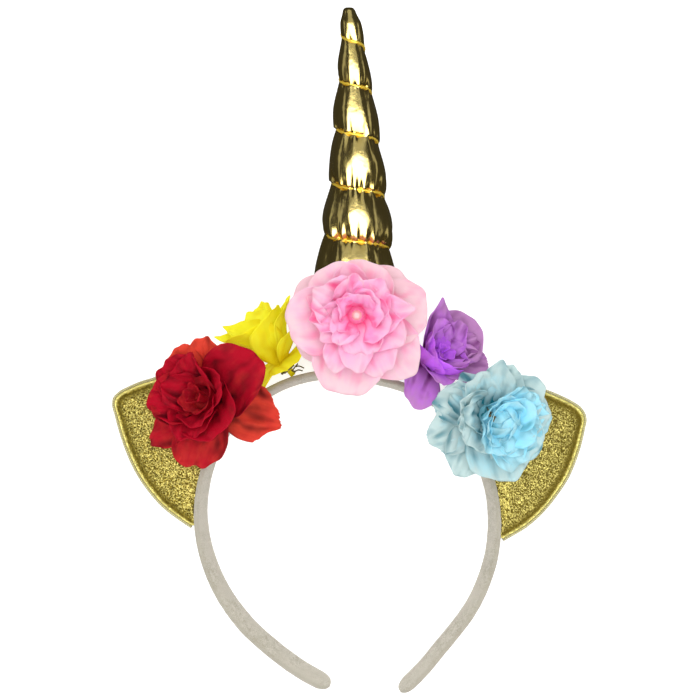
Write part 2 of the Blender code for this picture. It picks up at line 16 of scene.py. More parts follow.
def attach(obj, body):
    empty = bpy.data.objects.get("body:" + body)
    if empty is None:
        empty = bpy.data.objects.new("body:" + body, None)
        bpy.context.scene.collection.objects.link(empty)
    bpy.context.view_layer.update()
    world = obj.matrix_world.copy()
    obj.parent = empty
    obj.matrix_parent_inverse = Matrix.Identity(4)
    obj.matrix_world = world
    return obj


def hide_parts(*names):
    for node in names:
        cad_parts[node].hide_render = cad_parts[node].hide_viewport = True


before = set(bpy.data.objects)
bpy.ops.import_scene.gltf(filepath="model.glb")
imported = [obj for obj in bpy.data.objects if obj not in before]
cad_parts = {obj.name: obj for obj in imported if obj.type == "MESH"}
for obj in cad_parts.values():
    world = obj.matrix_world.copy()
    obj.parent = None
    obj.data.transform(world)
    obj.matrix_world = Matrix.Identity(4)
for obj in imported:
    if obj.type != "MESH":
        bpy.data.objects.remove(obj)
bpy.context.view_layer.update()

MM = 0.001

# How the headband lies on the table
REST_SLOPE = math.radians(4.77)
REST_SHIFT = (0.4, 1.71, 18.28)

# Camera straight above, at the photo's distance and framing
CAMERA_PLACE = (0.0003, 0.0019, 0.9206)
CAMERA_LENS = 107.6
CAMERA_SENSOR = 36.0

# Band: flat strip bent round the head
HEAD_CENTRE = (-1.1, -71.4)
BAND_WIDTH = 12.0
BAND_THICKNESS = 3.0
BAND_TURN_STEP = 0.8
BAND_SECTION_POINTS = 40
# Round the head from the right tip to the left one
BAND_PATH = (
    # degrees, radius in mm, degrees that the front edge flares
    (-73.8, 80.8, 17.0),
    (-55.0, 71.1, 16.0),
    (-34.0, 67.1, 16.0),
    (-14.0, 64.8, 17.0),
    (14.0, 62.8, 16.0),
    (48.0, 62.2, 16.0),
    (78.0, 59.9, 15.0),
    (106.0, 62.2, 15.0),
    (140.0, 64.0, 16.0),
    (176.0, 63.8, 18.0),
    (205.0, 63.9, 22.0),
    (227.0, 65.5, 25.0),
    (241.0, 67.6, 24.0),
    (264.3, 75.3, 22.0),
)

# Horn: a stuffed cone drawn in by a spiral of thread, its grooves numbered from the tip
HORN_TOP = 146.4
HORN_BASE = -11.0
HORN_TIP_RADIUS = 3.7
HORN_TAPER = 0.1265
HORN_WIDEST = 20.0
HORN_FOOT_TAPER = 0.13
HORN_TIP_ROUNDING = (2.2, 0.4)
# How much the knob at the tip is drawn in, and over what length
HORN_KNOB = (0.26, 7.0)
HORN_FOOT_ROUNDING = (7.0, 2.2)
HORN_GROOVE_DEPTH = 0.2
HORN_PUFF_POWER = 0.55
# Over 1 each puff is fullest below its middle
HORN_PUFF_DROOP = 1.4
HORN_SWAY = 0.1
HORN_SIDES = 150
HORN_ROWS_A_PUFF = 40
HORN_GROOVES = (152.0, 132.0, 113.3, 92.5, 69.4, 47.3, 23.6, -1.5, -28.0)
HORN_AXIS = (
    (-11.0, 1.5), (30.0, 2.4), (64.0, 2.9), (100.0, 2.4), (120.0, 1.6), (137.0, 0.5), (146.4, -0.5),
)
THREAD_RADIUS = 0.6
THREAD_STEP = 0.5
THREAD_TWIST = 2.6

# Ears: flat padded panels that lean back from the band
EAR_THICKNESS = 6.4
EAR_EDGE_RADIUS = 1.1
# Half of the overcast edging's width and of its height
EAR_STITCH = (0.62, 1.05)
EAR_HINGE_DEPTH = 0.6
EAR_RINGS = 26
EAR_STEP = 0.9
LEFT_EAR = {
    "outline": (
        (-69.3, -77.3), (-75.7, -73.4), (-81.8, -69.0), (-87.5, -63.2), (-91.7, -57.9),
        (-95.6, -51.4), (-98.9, -44.1), (-101.6, -36.5), (-103.5, -29.8), (-104.7, -25.0),
        (-104.2, -22.1), (-101.8, -19.5), (-97.1, -16.9), (-92.4, -14.8), (-87.0, -13.1),
        (-77.7, -9.8), (-68.1, -8.7), (-58.5, -10.7), (-50.2, -15.5), (-44.5, -21.0),
    ),
    "foot_angles": (130.0, 184.0),
    "lean": math.radians(16.75),
}
RIGHT_EAR = {
    "outline": (
        (66.7, -83.0), (77.3, -77.3), (84.5, -71.3), (90.7, -64.2), (95.7, -57.0), (99.2, -49.4),
        (101.5, -42.6), (103.2, -35.5), (103.9, -31.9), (103.4, -29.2), (101.5, -26.3), (97.9, -23.7),
        (92.5, -20.9), (87.9, -18.9), (78.4, -15.5), (67.8, -13.6), (57.4, -14.3), (48.6, -18.0),
        (42.5, -23.4),
    ),
    "foot_angles": (49.0, -9.0),
    "lean": math.radians(15.95),
}


# Flowers: where the petals spring from, which way the flower and its core face, and its seat
PETAL_THICKNESS = 0.22
PETAL_ROWS = 28
PETAL_LINES = 28
STEM_PROFILE = ((0.0, 0.7), (0.6, 0.85), (1.0, 1.0))
DOME_PROFILE = ((0.3, 1.0), (0.65, 0.86), (0.9, 0.55), (1.0, 0.22))
PETAL_COLUMNS = (
    "turn", "length", "width", "opens", "ends", "rise", "start", "wrap", "curl", "ruffle", "tip", "tone",
)
# Columns: degrees round; mm; mm; degrees off the axis at foot and rim; mm along the axis; mm from
# it; degrees of wrap; degrees of curl; mm of ruffle; pointed or notched share; pale to full colour
FLOWERS = {
    "pink_flower": {
        "heart": (2.7, 17.1, 21.5),
        "facing": (0.0, 0.04, 1.0),
        "core_facing": (0.0, 0.04, 1.0),
        "seat": (2.3, 12.0, 13.0),
        "stem": 8.0,
        "rim_fade": 0.3,
        "dome": (4.5, 13.6),
        "petals": (
            (155.0, 27.5, 22.0, 66.0, 86.0, -0.8, 1.5, 24.0, 4.0, 0.35, 0.00, 0.00),
            (-150.0, 28.0, 24.0, 66.0, 88.0, -0.8, 1.5, 24.0, 4.0, 0.4, 0.00, 0.05),
            (36.0, 25.0, 24.0, 66.0, 86.0, -0.6, 1.5, 24.0, 4.0, 0.4, 0.00, 0.00),
            (-44.0, 34.0, 27.0, 60.0, 82.0, 0.0, 1.5, 30.0, 14.0, 0.6, 0.00, 0.25),
            (3.0, 30.5, 29.0, 60.0, 82.0, 0.4, 1.5, 30.0, 6.0, 0.6, 0.00, -0.15),
            (76.0, 24.0, 28.0, 54.0, 68.0, 0.2, 1.5, 36.0, 34.0, 0.4, 0.00, 0.20),
            (130.0, 25.5, 29.0, 52.0, 68.0, 0.6, 1.5, 38.0, 40.0, 0.4, 0.00, 0.30),
            (-172.0, 31.0, 31.0, 54.0, 72.0, 1.0, 1.5, 38.0, 36.0, 0.4, 0.00, 0.25),
            (-101.0, 35.0, 32.0, 58.0, 80.0, 1.2, 1.5, 34.0, 16.0, 0.6, 0.00, 0.15),
            (-60.0, 28.5, 20.0, 50.0, 74.0, 3.0, 2.0, 30.0, 8.0, 0.9, 0.00, 0.50),
            (-26.0, 24.5, 19.0, 44.0, 66.0, 4.0, 2.0, 34.0, 14.0, 0.9, 0.06, 0.60),
            (4.0, 24.0, 19.0, 40.0, 62.0, 5.0, 2.0, 36.0, 20.0, 0.9, 0.14, 0.65),
            (44.0, 22.0, 20.0, 26.0, 50.0, 5.0, 2.0, 42.0, 36.0, 2.2, 0.05, 0.75),
            (90.0, 21.0, 22.0, 28.0, 44.0, 5.0, 2.5, 40.0, 20.0, 1.5, 0.00, 0.65),
            (150.0, 23.5, 24.0, 38.0, 52.0, 4.5, 2.5, 38.0, 34.0, 2.2, 0.06, 0.50),
            (186.0, 22.0, 16.0, 34.0, 54.0, 5.0, 2.5, 42.0, 30.0, 2.2, 0.12, 0.60),
            (214.0, 19.5, 15.0, 32.0, 56.0, 5.0, 2.5, 42.0, 34.0, 1.8, 0.08, 0.65),
            (-117.0, 28.0, 14.0, 42.0, 74.0, 4.0, 2.0, 30.0, 8.0, 0.6, -0.03, 0.50),
            (-93.0, 26.5, 15.0, 40.0, 70.0, 5.0, 2.0, 34.0, 12.0, 0.7, 0.00, 0.50),
            (-84.0, 17.5, 22.0, 30.0, 66.0, 7.0, 3.0, 40.0, 40.0, 1.6, 0.00, 0.65),
            (225.0, 18.0, 15.0, 22.0, 52.0, 7.0, 3.0, 46.0, 34.0, 1.8, 0.00, 0.70),
            (-18.0, 18.5, 20.0, 26.0, 50.0, 7.0, 3.0, 40.0, 16.0, 1.0, 0.00, 0.80),
            (32.0, 19.0, 18.0, 14.0, 36.0, 7.5, 3.0, 46.0, 16.0, 1.3, 0.00, 0.85),
            (80.0, 17.5, 16.0, 12.0, 28.0, 8.0, 3.2, 48.0, 14.0, 1.3, 0.00, 0.90),
            (135.0, 16.0, 15.0, 12.0, 30.0, 8.0, 3.2, 50.0, 20.0, 1.5, 0.00, 0.85),
            (186.0, 13.5, 13.0, 16.0, 44.0, 8.0, 3.2, 48.0, 28.0, 1.6, 0.00, 0.85),
        ),
    },
    "red_flower": {
        "heart": (-58.2, -21.8, 9.0),
        "facing": (-0.20, 0.12, 0.97),
        "core_facing": (-0.46, 0.24, 0.85),
        "seat": (-52.5, -28.5, 2.0),
        "stem": 7.0,
        "rim_fade": 0.0,
        "dome": (6.0, 11.0),
        "bud": {
            "turns": 2.1, "from": 1.2, "to": 7.4, "tall": 19.5,
            "drop": 3.5, "flare": 3.0, "starts": 200.0,
        },
        "petals": (
            (118.0, 30.0, 20.0, 50.0, 62.0, 0.0, 1.5, 36.0, 6.0, 0.7, 0.03, -0.10),
            (92.0, 31.0, 19.0, 52.0, 60.0, 0.6, 1.5, 32.0, 4.0, 0.8, 0.00, -0.10),
            (-14.0, 28.5, 25.0, 74.0, 90.0, -0.4, 1.5, 22.0, 4.0, 1.6, 0.00, 0.10),
            (30.0, 27.0, 10.0, 66.0, 80.0, -0.2, 1.5, 20.0, 0.0, 0.6, 0.10, 0.85),
            (-103.0, 28.0, 25.0, 70.0, 88.0, 0.0, 1.5, 28.0, 8.0, 1.3, 0.00, 0.75),
            (-148.0, 31.0, 15.0, 70.0, 88.0, 0.2, 1.5, 32.0, 10.0, 1.3, 0.00, 0.85),
            (166.0, 28.0, 28.0, 54.0, 50.0, 0.6, 1.5, 46.0, 6.0, 0.9, 0.00, 0.85),
            (36.0, 33.5, 33.0, 48.0, 58.0, 1.6, 1.5, 50.0, 44.0, 0.8, 0.00, 1.00),
            (-46.0, 25.0, 34.0, 44.0, 54.0, 2.4, 1.8, 54.0, 34.0, 0.8, 0.00, 1.05),
            (-100.0, 23.0, 26.0, 36.0, 44.0, 2.6, 2.0, 54.0, 26.0, 1.0, 0.00, 1.05),
            (126.0, 27.0, 24.0, 34.0, 38.0, 3.0, 2.0, 52.0, 20.0, 1.3, 0.04, 1.05),
            (186.0, 25.0, 24.0, 36.0, 38.0, 3.4, 2.4, 54.0, 22.0, 1.2, 0.00, 1.10),
            (80.0, 25.0, 22.0, 28.0, 32.0, 4.0, 2.6, 54.0, 26.0, 1.2, 0.03, 1.10),
            (10.0, 23.0, 25.0, 34.0, 36.0, 4.0, 2.6, 56.0, 30.0, 0.8, 0.00, 1.15),
            (-70.0, 21.0, 24.0, 28.0, 32.0, 4.0, 2.6, 58.0, 26.0, 0.9, 0.00, 1.15),
            (150.0, 21.5, 20.0, 24.0, 30.0, 4.0, 2.6, 56.0, 20.0, 1.4, 0.00, 1.15),
        ),
    },
    "yellow_flower": {
        "heart": (-29.0, -4.4, 2.0),
        "facing": (-0.60, 0.74, 0.14),
        "core_facing": (-0.60, 0.74, 0.14),
        "seat": (-24.6, -10.6, 1.0),
        "stem": 1.8,
        "rim_fade": 0.1,
        "dome": (4.0, 12.0),
        "bud": {
            "turns": 1.8, "from": 1.2, "to": 5.5, "tall": 18.0,
            "drop": 2.0, "flare": 2.0, "starts": 60.0,
        },
        "petals": (
            (96.0, 25.5, 22.0, 22.0, 22.0, 0.3, 1.2, 50.0, 30.0, 0.7, 0.14, 0.30),
            (0.0, 26.5, 24.0, 42.0, 36.0, 0.0, 1.2, 46.0, 16.0, 0.8, 0.08, 0.40),
            (178.0, 28.5, 23.0, 28.0, 26.0, 0.0, 1.2, 44.0, 10.0, 0.6, 0.16, 0.50),
            (-124.0, 26.5, 31.0, 32.0, 24.0, 0.6, 1.4, 52.0, 14.0, 0.4, 0.06, 0.70),
            (-40.0, 27.0, 28.0, 36.0, 30.0, 0.2, 1.4, 50.0, 14.0, 0.4, 0.04, 0.60),
            (60.0, 25.0, 19.0, 28.0, 26.0, 2.4, 1.6, 54.0, 24.0, 0.9, 0.10, 0.40),
            (140.0, 25.0, 19.0, 20.0, 22.0, 2.4, 1.6, 54.0, 24.0, 0.9, 0.10, 0.45),
            (186.0, 17.0, 30.0, 98.0, 122.0, 0.5, 1.2, 14.0, 6.0, 0.7, 0.00, 0.45),
            (-70.0, 13.0, 20.0, 84.0, 116.0, 0.5, 1.2, 20.0, 6.0, 0.6, 0.00, 0.55),
            (-25.0, 22.0, 22.0, 62.0, 56.0, 0.0, 1.2, 40.0, 10.0, 0.5, 0.00, 0.50),
        ),
    },
    "purple_flower": {
        "heart": (34.0, -4.0, 6.0),
        "facing": (0.46, 0.40, 0.79),
        "core_facing": (0.46, 0.40, 0.79),
        "seat": (28.6, -14.6, 0.0),
        "stem": 5.0,
        "rim_fade": 0.15,
        "dome": (4.5, 9.0),
        "bud": {
            "turns": 1.6, "from": 1.0, "to": 4.6, "tall": 14.5,
            "drop": 3.0, "flare": 2.2, "starts": 20.0,
        },
        "petals": (
            (108.0, 26.0, 17.0, 34.0, 48.0, 0.0, 1.2, 38.0, -4.0, 0.9, 0.20, 0.30),
            (44.0, 25.5, 26.0, 40.0, 54.0, 0.2, 1.2, 40.0, 4.0, 0.5, 0.00, -0.10),
            (-12.0, 23.5, 22.0, 42.0, 58.0, 0.0, 1.2, 38.0, 6.0, 1.6, 0.04, 0.00),
            (-115.0, 23.0, 19.0, 78.0, 92.0, -0.4, 1.2, 22.0, 6.0, 1.0, 0.00, 0.35),
            (-84.0, 17.0, 18.0, 42.0, 56.0, 0.4, 1.4, 40.0, 10.0, 0.9, 0.00, 0.40),
            (-112.0, 20.0, 28.0, 66.0, -26.0, 1.6, 2.0, 58.0, 6.0, 0.4, 0.00, 1.10),
            (-166.0, 19.5, 24.0, 50.0, -10.0, 2.0, 2.0, 56.0, 8.0, 0.6, 0.00, 0.95),
            (-58.0, 18.5, 20.0, 52.0, -6.0, 2.0, 2.0, 56.0, 10.0, 1.0, 0.00, 0.75),
            (128.0, 21.0, 18.0, 24.0, 30.0, 2.4, 2.0, 54.0, 14.0, 1.4, 0.06, 0.50),
            (70.0, 19.0, 18.0, 24.0, 34.0, 3.0, 2.2, 54.0, 16.0, 1.8, 0.00, 0.40),
            (24.0, 20.0, 14.0, 30.0, 44.0, 2.6, 2.2, 52.0, 16.0, 2.2, 0.00, 0.15),
            (-12.0, 19.0, 14.0, 30.0, 46.0, 2.6, 2.2, 52.0, 20.0, 2.2, 0.00, 0.15),
            (6.0, 15.0, 12.0, 22.0, 34.0, 3.0, 2.2, 52.0, 16.0, 1.8, 0.00, 0.40),
        ),
    },
    "blue_flower": {
        "heart": (57.6, -26.2, 8.5),
        "facing": (0.12, 0.03, 0.99),
        "core_facing": (0.46, -0.14, 0.87),
        "seat": (52.0, -34.0, 2.0),
        "stem": 7.0,
        "rim_fade": 0.3,
        "dome": (5.5, 9.0),
        "petals": (
            (138.0, 21.5, 19.0, 56.0, 70.0, 0.0, 1.5, 32.0, 4.0, 1.4, 0.00, 0.20),
            (162.0, 24.0, 19.0, 60.0, 76.0, -0.2, 1.5, 28.0, 4.0, 1.4, 0.00, 0.05),
            (200.0, 26.5, 23.0, 64.0, 82.0, -0.2, 1.5, 26.0, 4.0, 1.4, 0.00, 0.00),
            (242.0, 28.0, 23.0, 64.0, 84.0, 0.0, 1.5, 26.0, 2.0, 1.0, 0.00, -0.10),
            (-78.0, 29.5, 28.5, 60.0, 82.0, 0.4, 1.5, 28.0, 4.0, 0.8, 0.00, 0.25),
            (-36.0, 27.5, 25.5, 56.0, 74.0, 0.4, 1.5, 30.0, 8.0, 0.8, 0.00, 0.35),
            (0.0, 26.5, 24.5, 54.0, 70.0, 0.8, 1.5, 32.0, 10.0, 0.7, 0.00, 0.15),
            (30.0, 27.5, 23.0, 52.0, 66.0, 0.6, 1.5, 34.0, 12.0, 0.7, 0.00, 0.00),
            (60.0, 25.5, 21.0, 48.0, 64.0, 1.2, 1.5, 32.0, 10.0, 0.9, 0.03, 0.05),
            (84.0, 25.5, 18.0, 46.0, 58.0, 2.0, 1.5, 32.0, 8.0, 0.9, 0.12, 0.10),
            (112.0, 22.5, 19.0, 44.0, 56.0, 1.8, 1.5, 36.0, 12.0, 1.2, 0.00, 0.15),
            (160.0, 19.0, 21.0, 34.0, 44.0, 1.6, 2.0, 44.0, 16.0, 1.3, 0.00, 0.10),
            (212.0, 19.5, 21.0, 34.0, 46.0, 1.6, 2.0, 44.0, 14.0, 1.2, 0.00, 0.05),
            (180.0, 16.5, 19.0, 24.0, 34.0, 1.9, 2.2, 50.0, 20.0, 1.2, 0.00, 0.15),
            (-118.0, 20.5, 19.0, 34.0, 50.0, 1.9, 2.2, 44.0, 12.0, 0.9, 0.00, 0.15),
            (100.0, 20.0, 21.0, 20.0, 38.0, 4.0, 2.4, 48.0, 24.0, 1.0, 0.00, 0.85),
            (60.0, 22.0, 21.0, 26.0, 46.0, 4.0, 2.4, 44.0, 26.0, 1.2, 0.00, 0.80),
            (22.0, 23.5, 21.0, 32.0, 54.0, 4.0, 2.4, 42.0, 26.0, 1.4, 0.00, 0.75),
            (-14.0, 24.0, 24.0, 34.0, 58.0, 4.0, 2.4, 42.0, 26.0, 1.0, 0.00, 0.70),
            (-50.0, 24.5, 24.0, 34.0, 58.0, 4.0, 2.4, 40.0, 22.0, 1.0, 0.00, 0.70),
            (-88.0, 24.0, 20.0, 34.0, 58.0, 4.4, 2.4, 40.0, 10.0, 0.7, 0.02, 0.75),
            (-128.0, 21.5, 20.0, 26.0, 44.0, 4.4, 2.4, 46.0, 14.0, 1.0, 0.00, 0.75),
            (-168.0, 18.5, 19.0, 18.0, 32.0, 5.0, 3.0, 50.0, 14.0, 0.9, 0.00, 0.80),
            (140.0, 17.5, 19.0, 14.0, 28.0, 5.0, 3.0, 52.0, 14.0, 0.8, 0.00, 0.90),
            (-60.0, 19.0, 21.0, 26.0, 60.0, 7.0, 2.6, 44.0, 24.0, 0.7, 0.00, 0.80),
            (-105.0, 17.5, 19.0, 20.0, 56.0, 7.0, 2.6, 46.0, 26.0, 0.7, 0.00, 0.75),
            (-12.0, 18.5, 21.0, 22.0, 58.0, 7.5, 2.6, 44.0, 28.0, 0.7, 0.00, 0.85),
            (36.0, 18.0, 20.0, 18.0, 50.0, 7.5, 2.6, 46.0, 28.0, 0.8, 0.00, 0.90),
            (82.0, 16.0, 17.5, 12.0, 40.0, 7.5, 2.8, 50.0, 24.0, 0.8, 0.00, 0.95),
            (-30.0, 18.0, 20.0, 62.0, -60.0, 6.0, 3.0, 52.0, -10.0, 0.9, 0.00, 0.85),
            (42.0, 18.0, 20.0, 60.0, -64.0, 6.5, 3.0, 52.0, -10.0, 0.9, 0.00, 0.90),
            (104.0, 17.0, 19.0, 56.0, -60.0, 6.5, 3.0, 52.0, -10.0, 0.9, 0.00, 0.90),
            (-110.0, 18.5, 20.0, 62.0, -66.0, 6.0, 3.0, 52.0, -10.0, 0.9, 0.00, 0.80),
            (175.0, 16.0, 17.5, 56.0, -58.0, 6.5, 3.0, 52.0, -10.0, 0.9, 0.00, 0.85),
            (130.0, 18.5, 17.5, 52.0, -104.0, 8.0, 3.0, 50.0, 0.0, 0.7, 0.00, 0.90),
            (-56.0, 18.5, 17.5, 52.0, -100.0, 8.0, 3.0, 50.0, 0.0, 0.7, 0.00, 0.95),
        ),
    },
}

# Bare wires that show among the petals, as points in the headband's frame
STAMEN_RADIUS = 0.3
STAMENS = {
    "yellow": (
        ((-23.8, -5.0, 5.0), (-26.5, -7.4, 5.0), (-29.6, -9.8, 5.0)),
        ((-22.4, -5.2, 5.0), (-23.6, -6.6, 5.0), (-25.0, -8.6, 5.0)),
        ((-19.8, -7.2, 5.0), (-21.6, -6.4, 5.0), (-23.4, -6.3, 5.0)),
        ((-20.4, -8.4, 5.0), (-22.2, -8.0, 5.0), (-24.2, -8.9, 5.0)),
    ),
    "blue": (
        ((60.9, -25.6, 12.0), (59.6, -24.6, 12.0), (58.2, -23.2, 12.0)),
        ((60.9, -25.8, 12.0), (60.0, -24.9, 12.0), (59.9, -23.6, 12.0)),
        ((60.9, -25.8, 12.0), (59.6, -25.4, 12.0), (58.0, -24.6, 12.0)),
        ((60.7, -26.0, 12.0), (60.4, -26.6, 12.0), (60.0, -27.6, 12.0)),
    ),
}


def to_table(points):
    """Points in the headband's frame, in millimetres, to the table's frame in metres."""
    points = np.asarray(points, float).reshape(-1, 3)
    c, s = math.cos(REST_SLOPE), math.sin(REST_SLOPE)
    turned = np.column_stack((points[:, 0], c * points[:, 1] - s * points[:, 2],
                              s * points[:, 1] + c * points[:, 2]))
    return (turned + np.array(REST_SHIFT)) * MM


def smooth_value(table, column, at):
    """A smooth curve through one column of a table, whose first column rises."""
    x = np.array([row[0] for row in table])
    y = np.array([row[column] for row in table])
    slope = np.gradient(y, x)
    at = np.clip(at, x[0], x[-1])
    i = np.clip(np.searchsorted(x, at) - 1, 0, len(x) - 2)
    span = x[i + 1] - x[i]
    f = (at - x[i]) / span
    return (
        (2 * f**3 - 3 * f**2 + 1) * y[i]
        + (f**3 - 2 * f**2 + f) * span * slope[i]
        + (3 * f**2 - 2 * f**3) * y[i + 1]
        + (f**3 - f**2) * span * slope[i + 1]
    )


def eased(value, low, high):
    """0 below low, 1 above high, and a smooth step between."""
    f = np.clip((np.asarray(value, float) - low) / (high - low), 0.0, 1.0)
    return f * f * (3 - 2 * f)


def roughly(points, size, seed=0.0):
    """Smooth noise from -1 to 1 at each point, with lumps of a size in millimetres."""
    shift = Vector((seed * 3.7, seed * 1.9, seed * 5.3))
    return np.array([noise.noise(Vector(p) / size + shift) for p in points])


def unit(vectors):
    return vectors / np.maximum(np.linalg.norm(vectors, axis=-1, keepdims=True), 1e-12)


def grid_faces(rows, columns, start=0, closed=False):
    """Quads of a grid of points that is stored row by row."""
    r = np.arange(rows - 1)[:, None]
    c = np.arange(columns if closed else columns - 1)[None, :]
    after = (c + 1) % columns
    here, there = start + r * columns, start + (r + 1) * columns
    return np.stack((here + c, here + after, there + after, there + c), axis=-1).reshape(-1, 4)


def piece_from(name, points, faces, finish, marks=None, cloth_map=None, smooth=True):
    """A mesh piece from points in millimetres, with a mark for each point and a map in millimetres."""
    mesh = bpy.data.meshes.new(name)
    mesh.from_pydata(to_table(points).tolist(), [], [list(face) for face in faces])
    for mark, values in (marks or {}).items():
        layer = mesh.attributes.new(mark, "FLOAT", "POINT")
        layer.data.foreach_set("value", np.asarray(values, np.float32).ravel())
    if cloth_map is not None:
        layer = mesh.uv_layers.new(name="cloth")
        corners = np.empty(len(mesh.loops), np.int32)
        mesh.loops.foreach_get("vertex_index", corners)
        layer.data.foreach_set("uv", np.asarray(cloth_map, np.float32)[corners].ravel())
    if smooth:
        mesh.shade_smooth()
    mesh.materials.append(finish)
    made = bpy.data.objects.new(name, mesh)
    bpy.context.scene.collection.objects.link(made)
    return made


def stands_for(piece, node):
    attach(piece, "root")
    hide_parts(node)


# Finishes


def new_group(name, inputs, outputs):
    """A shader node group with its sockets, and the nodes at its two ends."""
    group = bpy.data.node_groups.new(name, "ShaderNodeTree")
    for socket, kind, value in inputs:
        made = group.interface.new_socket(socket, in_out="INPUT", socket_type=f"NodeSocket{kind}")
        made.default_value = value
    for socket, kind in outputs:
        group.interface.new_socket(socket, in_out="OUTPUT", socket_type=f"NodeSocket{kind}")
    return group, group.nodes.new("NodeGroupInput"), group.nodes.new("NodeGroupOutput")


def add(tree, kind, settings=None, **inputs):
    """A node with its settings, and its inputs either linked from a socket or set to a value."""
    node = tree.nodes.new(f"ShaderNode{kind}")
    for name, value in (settings or {}).items():
        setattr(node, name, value)
    for name, value in inputs.items():
        key = int(name[1:]) if name[0] == "_" and name[1:].isdigit() else name.replace("_", " ")
        if isinstance(value, bpy.types.NodeSocket):
            tree.links.new(value, node.inputs[key])
        else:
            node.inputs[key].default_value = value
    return node


def math_of(tree, operation, a, b=0.0, clamp=False):
    return add(tree, "Math", {"operation": operation, "use_clamp": clamp}, _0=a, _1=b).outputs[0]


def mix_of(tree, share, a, b, blend="MIX"):
    node = tree.nodes.new("ShaderNodeMix")
    node.data_type = "RGBA"
    node.blend_type = blend
    for key, value in ((0, share), (6, a), (7, b)):
        if isinstance(value, bpy.types.NodeSocket):
            tree.links.new(value, node.inputs[key])
        else:
            node.inputs[key].default_value = value
    return node.outputs[2]


def ramp_of(tree, value, low, high):
    """0 below low and 1 above high."""
    node = add(tree, "MapRange", {"interpolation_type": "SMOOTHSTEP"}, Value=value)
    node.inputs["From Min"].default_value = low
    node.inputs["From Max"].default_value = high
    return node.outputs[0]


def noise_of(tree, vector, scale, detail=2.0, output="Fac"):
    return add(tree, "TexNoise", None, Vector=vector, Scale=scale, Detail=detail).outputs[output]


def colour(red, green, blue):
    return (red, green, blue, 1.0)


def new_material(name):
    """A material with only its Principled shader, and a way to reach its tree."""
    made = bpy.data.materials.new(name)
    made.use_nodes = True
    shader = made.node_tree.nodes["Principled BSDF"]
    return made, made.node_tree, shader


def place_group(tree, group, **inputs):
    node = tree.nodes.new("ShaderNodeGroup")
    node.node_tree = group
    for name, value in inputs.items():
        key = name.replace("_", " ")
        if isinstance(value, bpy.types.NodeSocket):
            tree.links.new(value, node.inputs[key])
        else:
            node.inputs[key].default_value = value
    return node


def object_place(tree):
    return tree.nodes.new("ShaderNodeTexCoord").outputs["Object"]


def mark_of(tree, name):
    return add(tree, "Attribute", {"attribute_name": name}).outputs["Fac"]


def bump_of(tree, height, distance, strength=1.0):
    node = add(tree, "Bump", None, Height=height, Strength=strength)
    node.inputs["Distance"].default_value = distance
    return node.outputs[0]


def fleck_group():
    """Speckle of fine fibres: a mask and a height, from lumps of a size in millimetres."""
    group, ends, out = new_group(
        "fleck", [("Place", "Vector", (0, 0, 0)), ("Size", "Float", 0.5)],
        [("Mask", "Float"), ("Height", "Float")],
    )
    scale = math_of(group, "DIVIDE", 1000.0, ends.outputs["Size"])
    fine = noise_of(group, ends.outputs["Place"], scale, 3.0)
    coarse = noise_of(group, ends.outputs["Place"], math_of(group, "MULTIPLY", scale, 0.22), 2.0)
    coarse = math_of(group, "MULTIPLY", coarse, 0.35)
    both = math_of(group, "ADD", math_of(group, "MULTIPLY", fine, 0.65), coarse)
    group.links.new(ramp_of(group, both, 0.36, 0.64), out.inputs["Mask"])
    group.links.new(fine, out.inputs["Height"])
    return group


def weave_group():
    """Plain weave from a map in millimetres: crossed threads of a pitch, as a height."""
    group, ends, out = new_group(
        "weave", [("Place", "Vector", (0, 0, 0)), ("Pitch", "Float", 0.35)], [("Height", "Float")],
    )
    turns = math_of(group, "DIVIDE", 2 * math.pi, ends.outputs["Pitch"])
    split = add(group, "SeparateXYZ", None, Vector=ends.outputs["Place"])
    threads = [
        math_of(group, "SINE", math_of(group, "MULTIPLY", split.outputs[axis], turns)) for axis in ("X", "Y")
    ]
    group.links.new(math_of(group, "MULTIPLY", threads[0], threads[1]), out.inputs["Height"])
    return group


def glitter_group():
    """Glued flakes: each has its own tilt and brightness. Lumps of flakes stand out as worms."""
    group, ends, out = new_group(
        "glitter",
        [
            ("Place", "Vector", (0, 0, 0)), ("Flake", "Float", 0.45), ("Lump", "Float", 1.1),
            ("Tilt", "Float", 0.8),
        ],
        [("Flash", "Float"), ("Worms", "Float"), ("Normal", "Vector")],
    )
    flake_scale = math_of(group, "DIVIDE", 1000.0, ends.outputs["Flake"])
    cells = add(group, "TexVoronoi", None, Vector=ends.outputs["Place"], Scale=flake_scale)
    tilt = add(group, "VectorMath", {"operation": "SUBTRACT"}, _0=cells.outputs["Color"], _1=(0.5, 0.5, 0.5))
    tilt = add(group, "VectorMath", {"operation": "SCALE"}, _0=tilt.outputs[0], Scale=ends.outputs["Tilt"])
    normal = add(group, "NewGeometry").outputs["Normal"]
    leaned = add(group, "VectorMath", {"operation": "ADD"}, _0=normal, _1=tilt.outputs[0])
    leaned = add(group, "VectorMath", {"operation": "NORMALIZE"}, _0=leaned.outputs[0])
    lump_scale = math_of(group, "DIVIDE", 1000.0, ends.outputs["Lump"])
    lumps = noise_of(group, ends.outputs["Place"], lump_scale, 1.0)
    ridge = math_of(group, "ABSOLUTE", math_of(group, "SUBTRACT", lumps, 0.5))
    worms = math_of(group, "SUBTRACT", 1.0, ramp_of(group, ridge, 0.0, 0.085))
    one = add(group, "SeparateColor", None, Color=cells.outputs["Color"]).outputs[0]
    group.links.new(ramp_of(group, one, 0.25, 0.95), out.inputs["Flash"])
    group.links.new(worms, out.inputs["Worms"])
    group.links.new(leaned.outputs[0], out.inputs["Normal"])
    return group


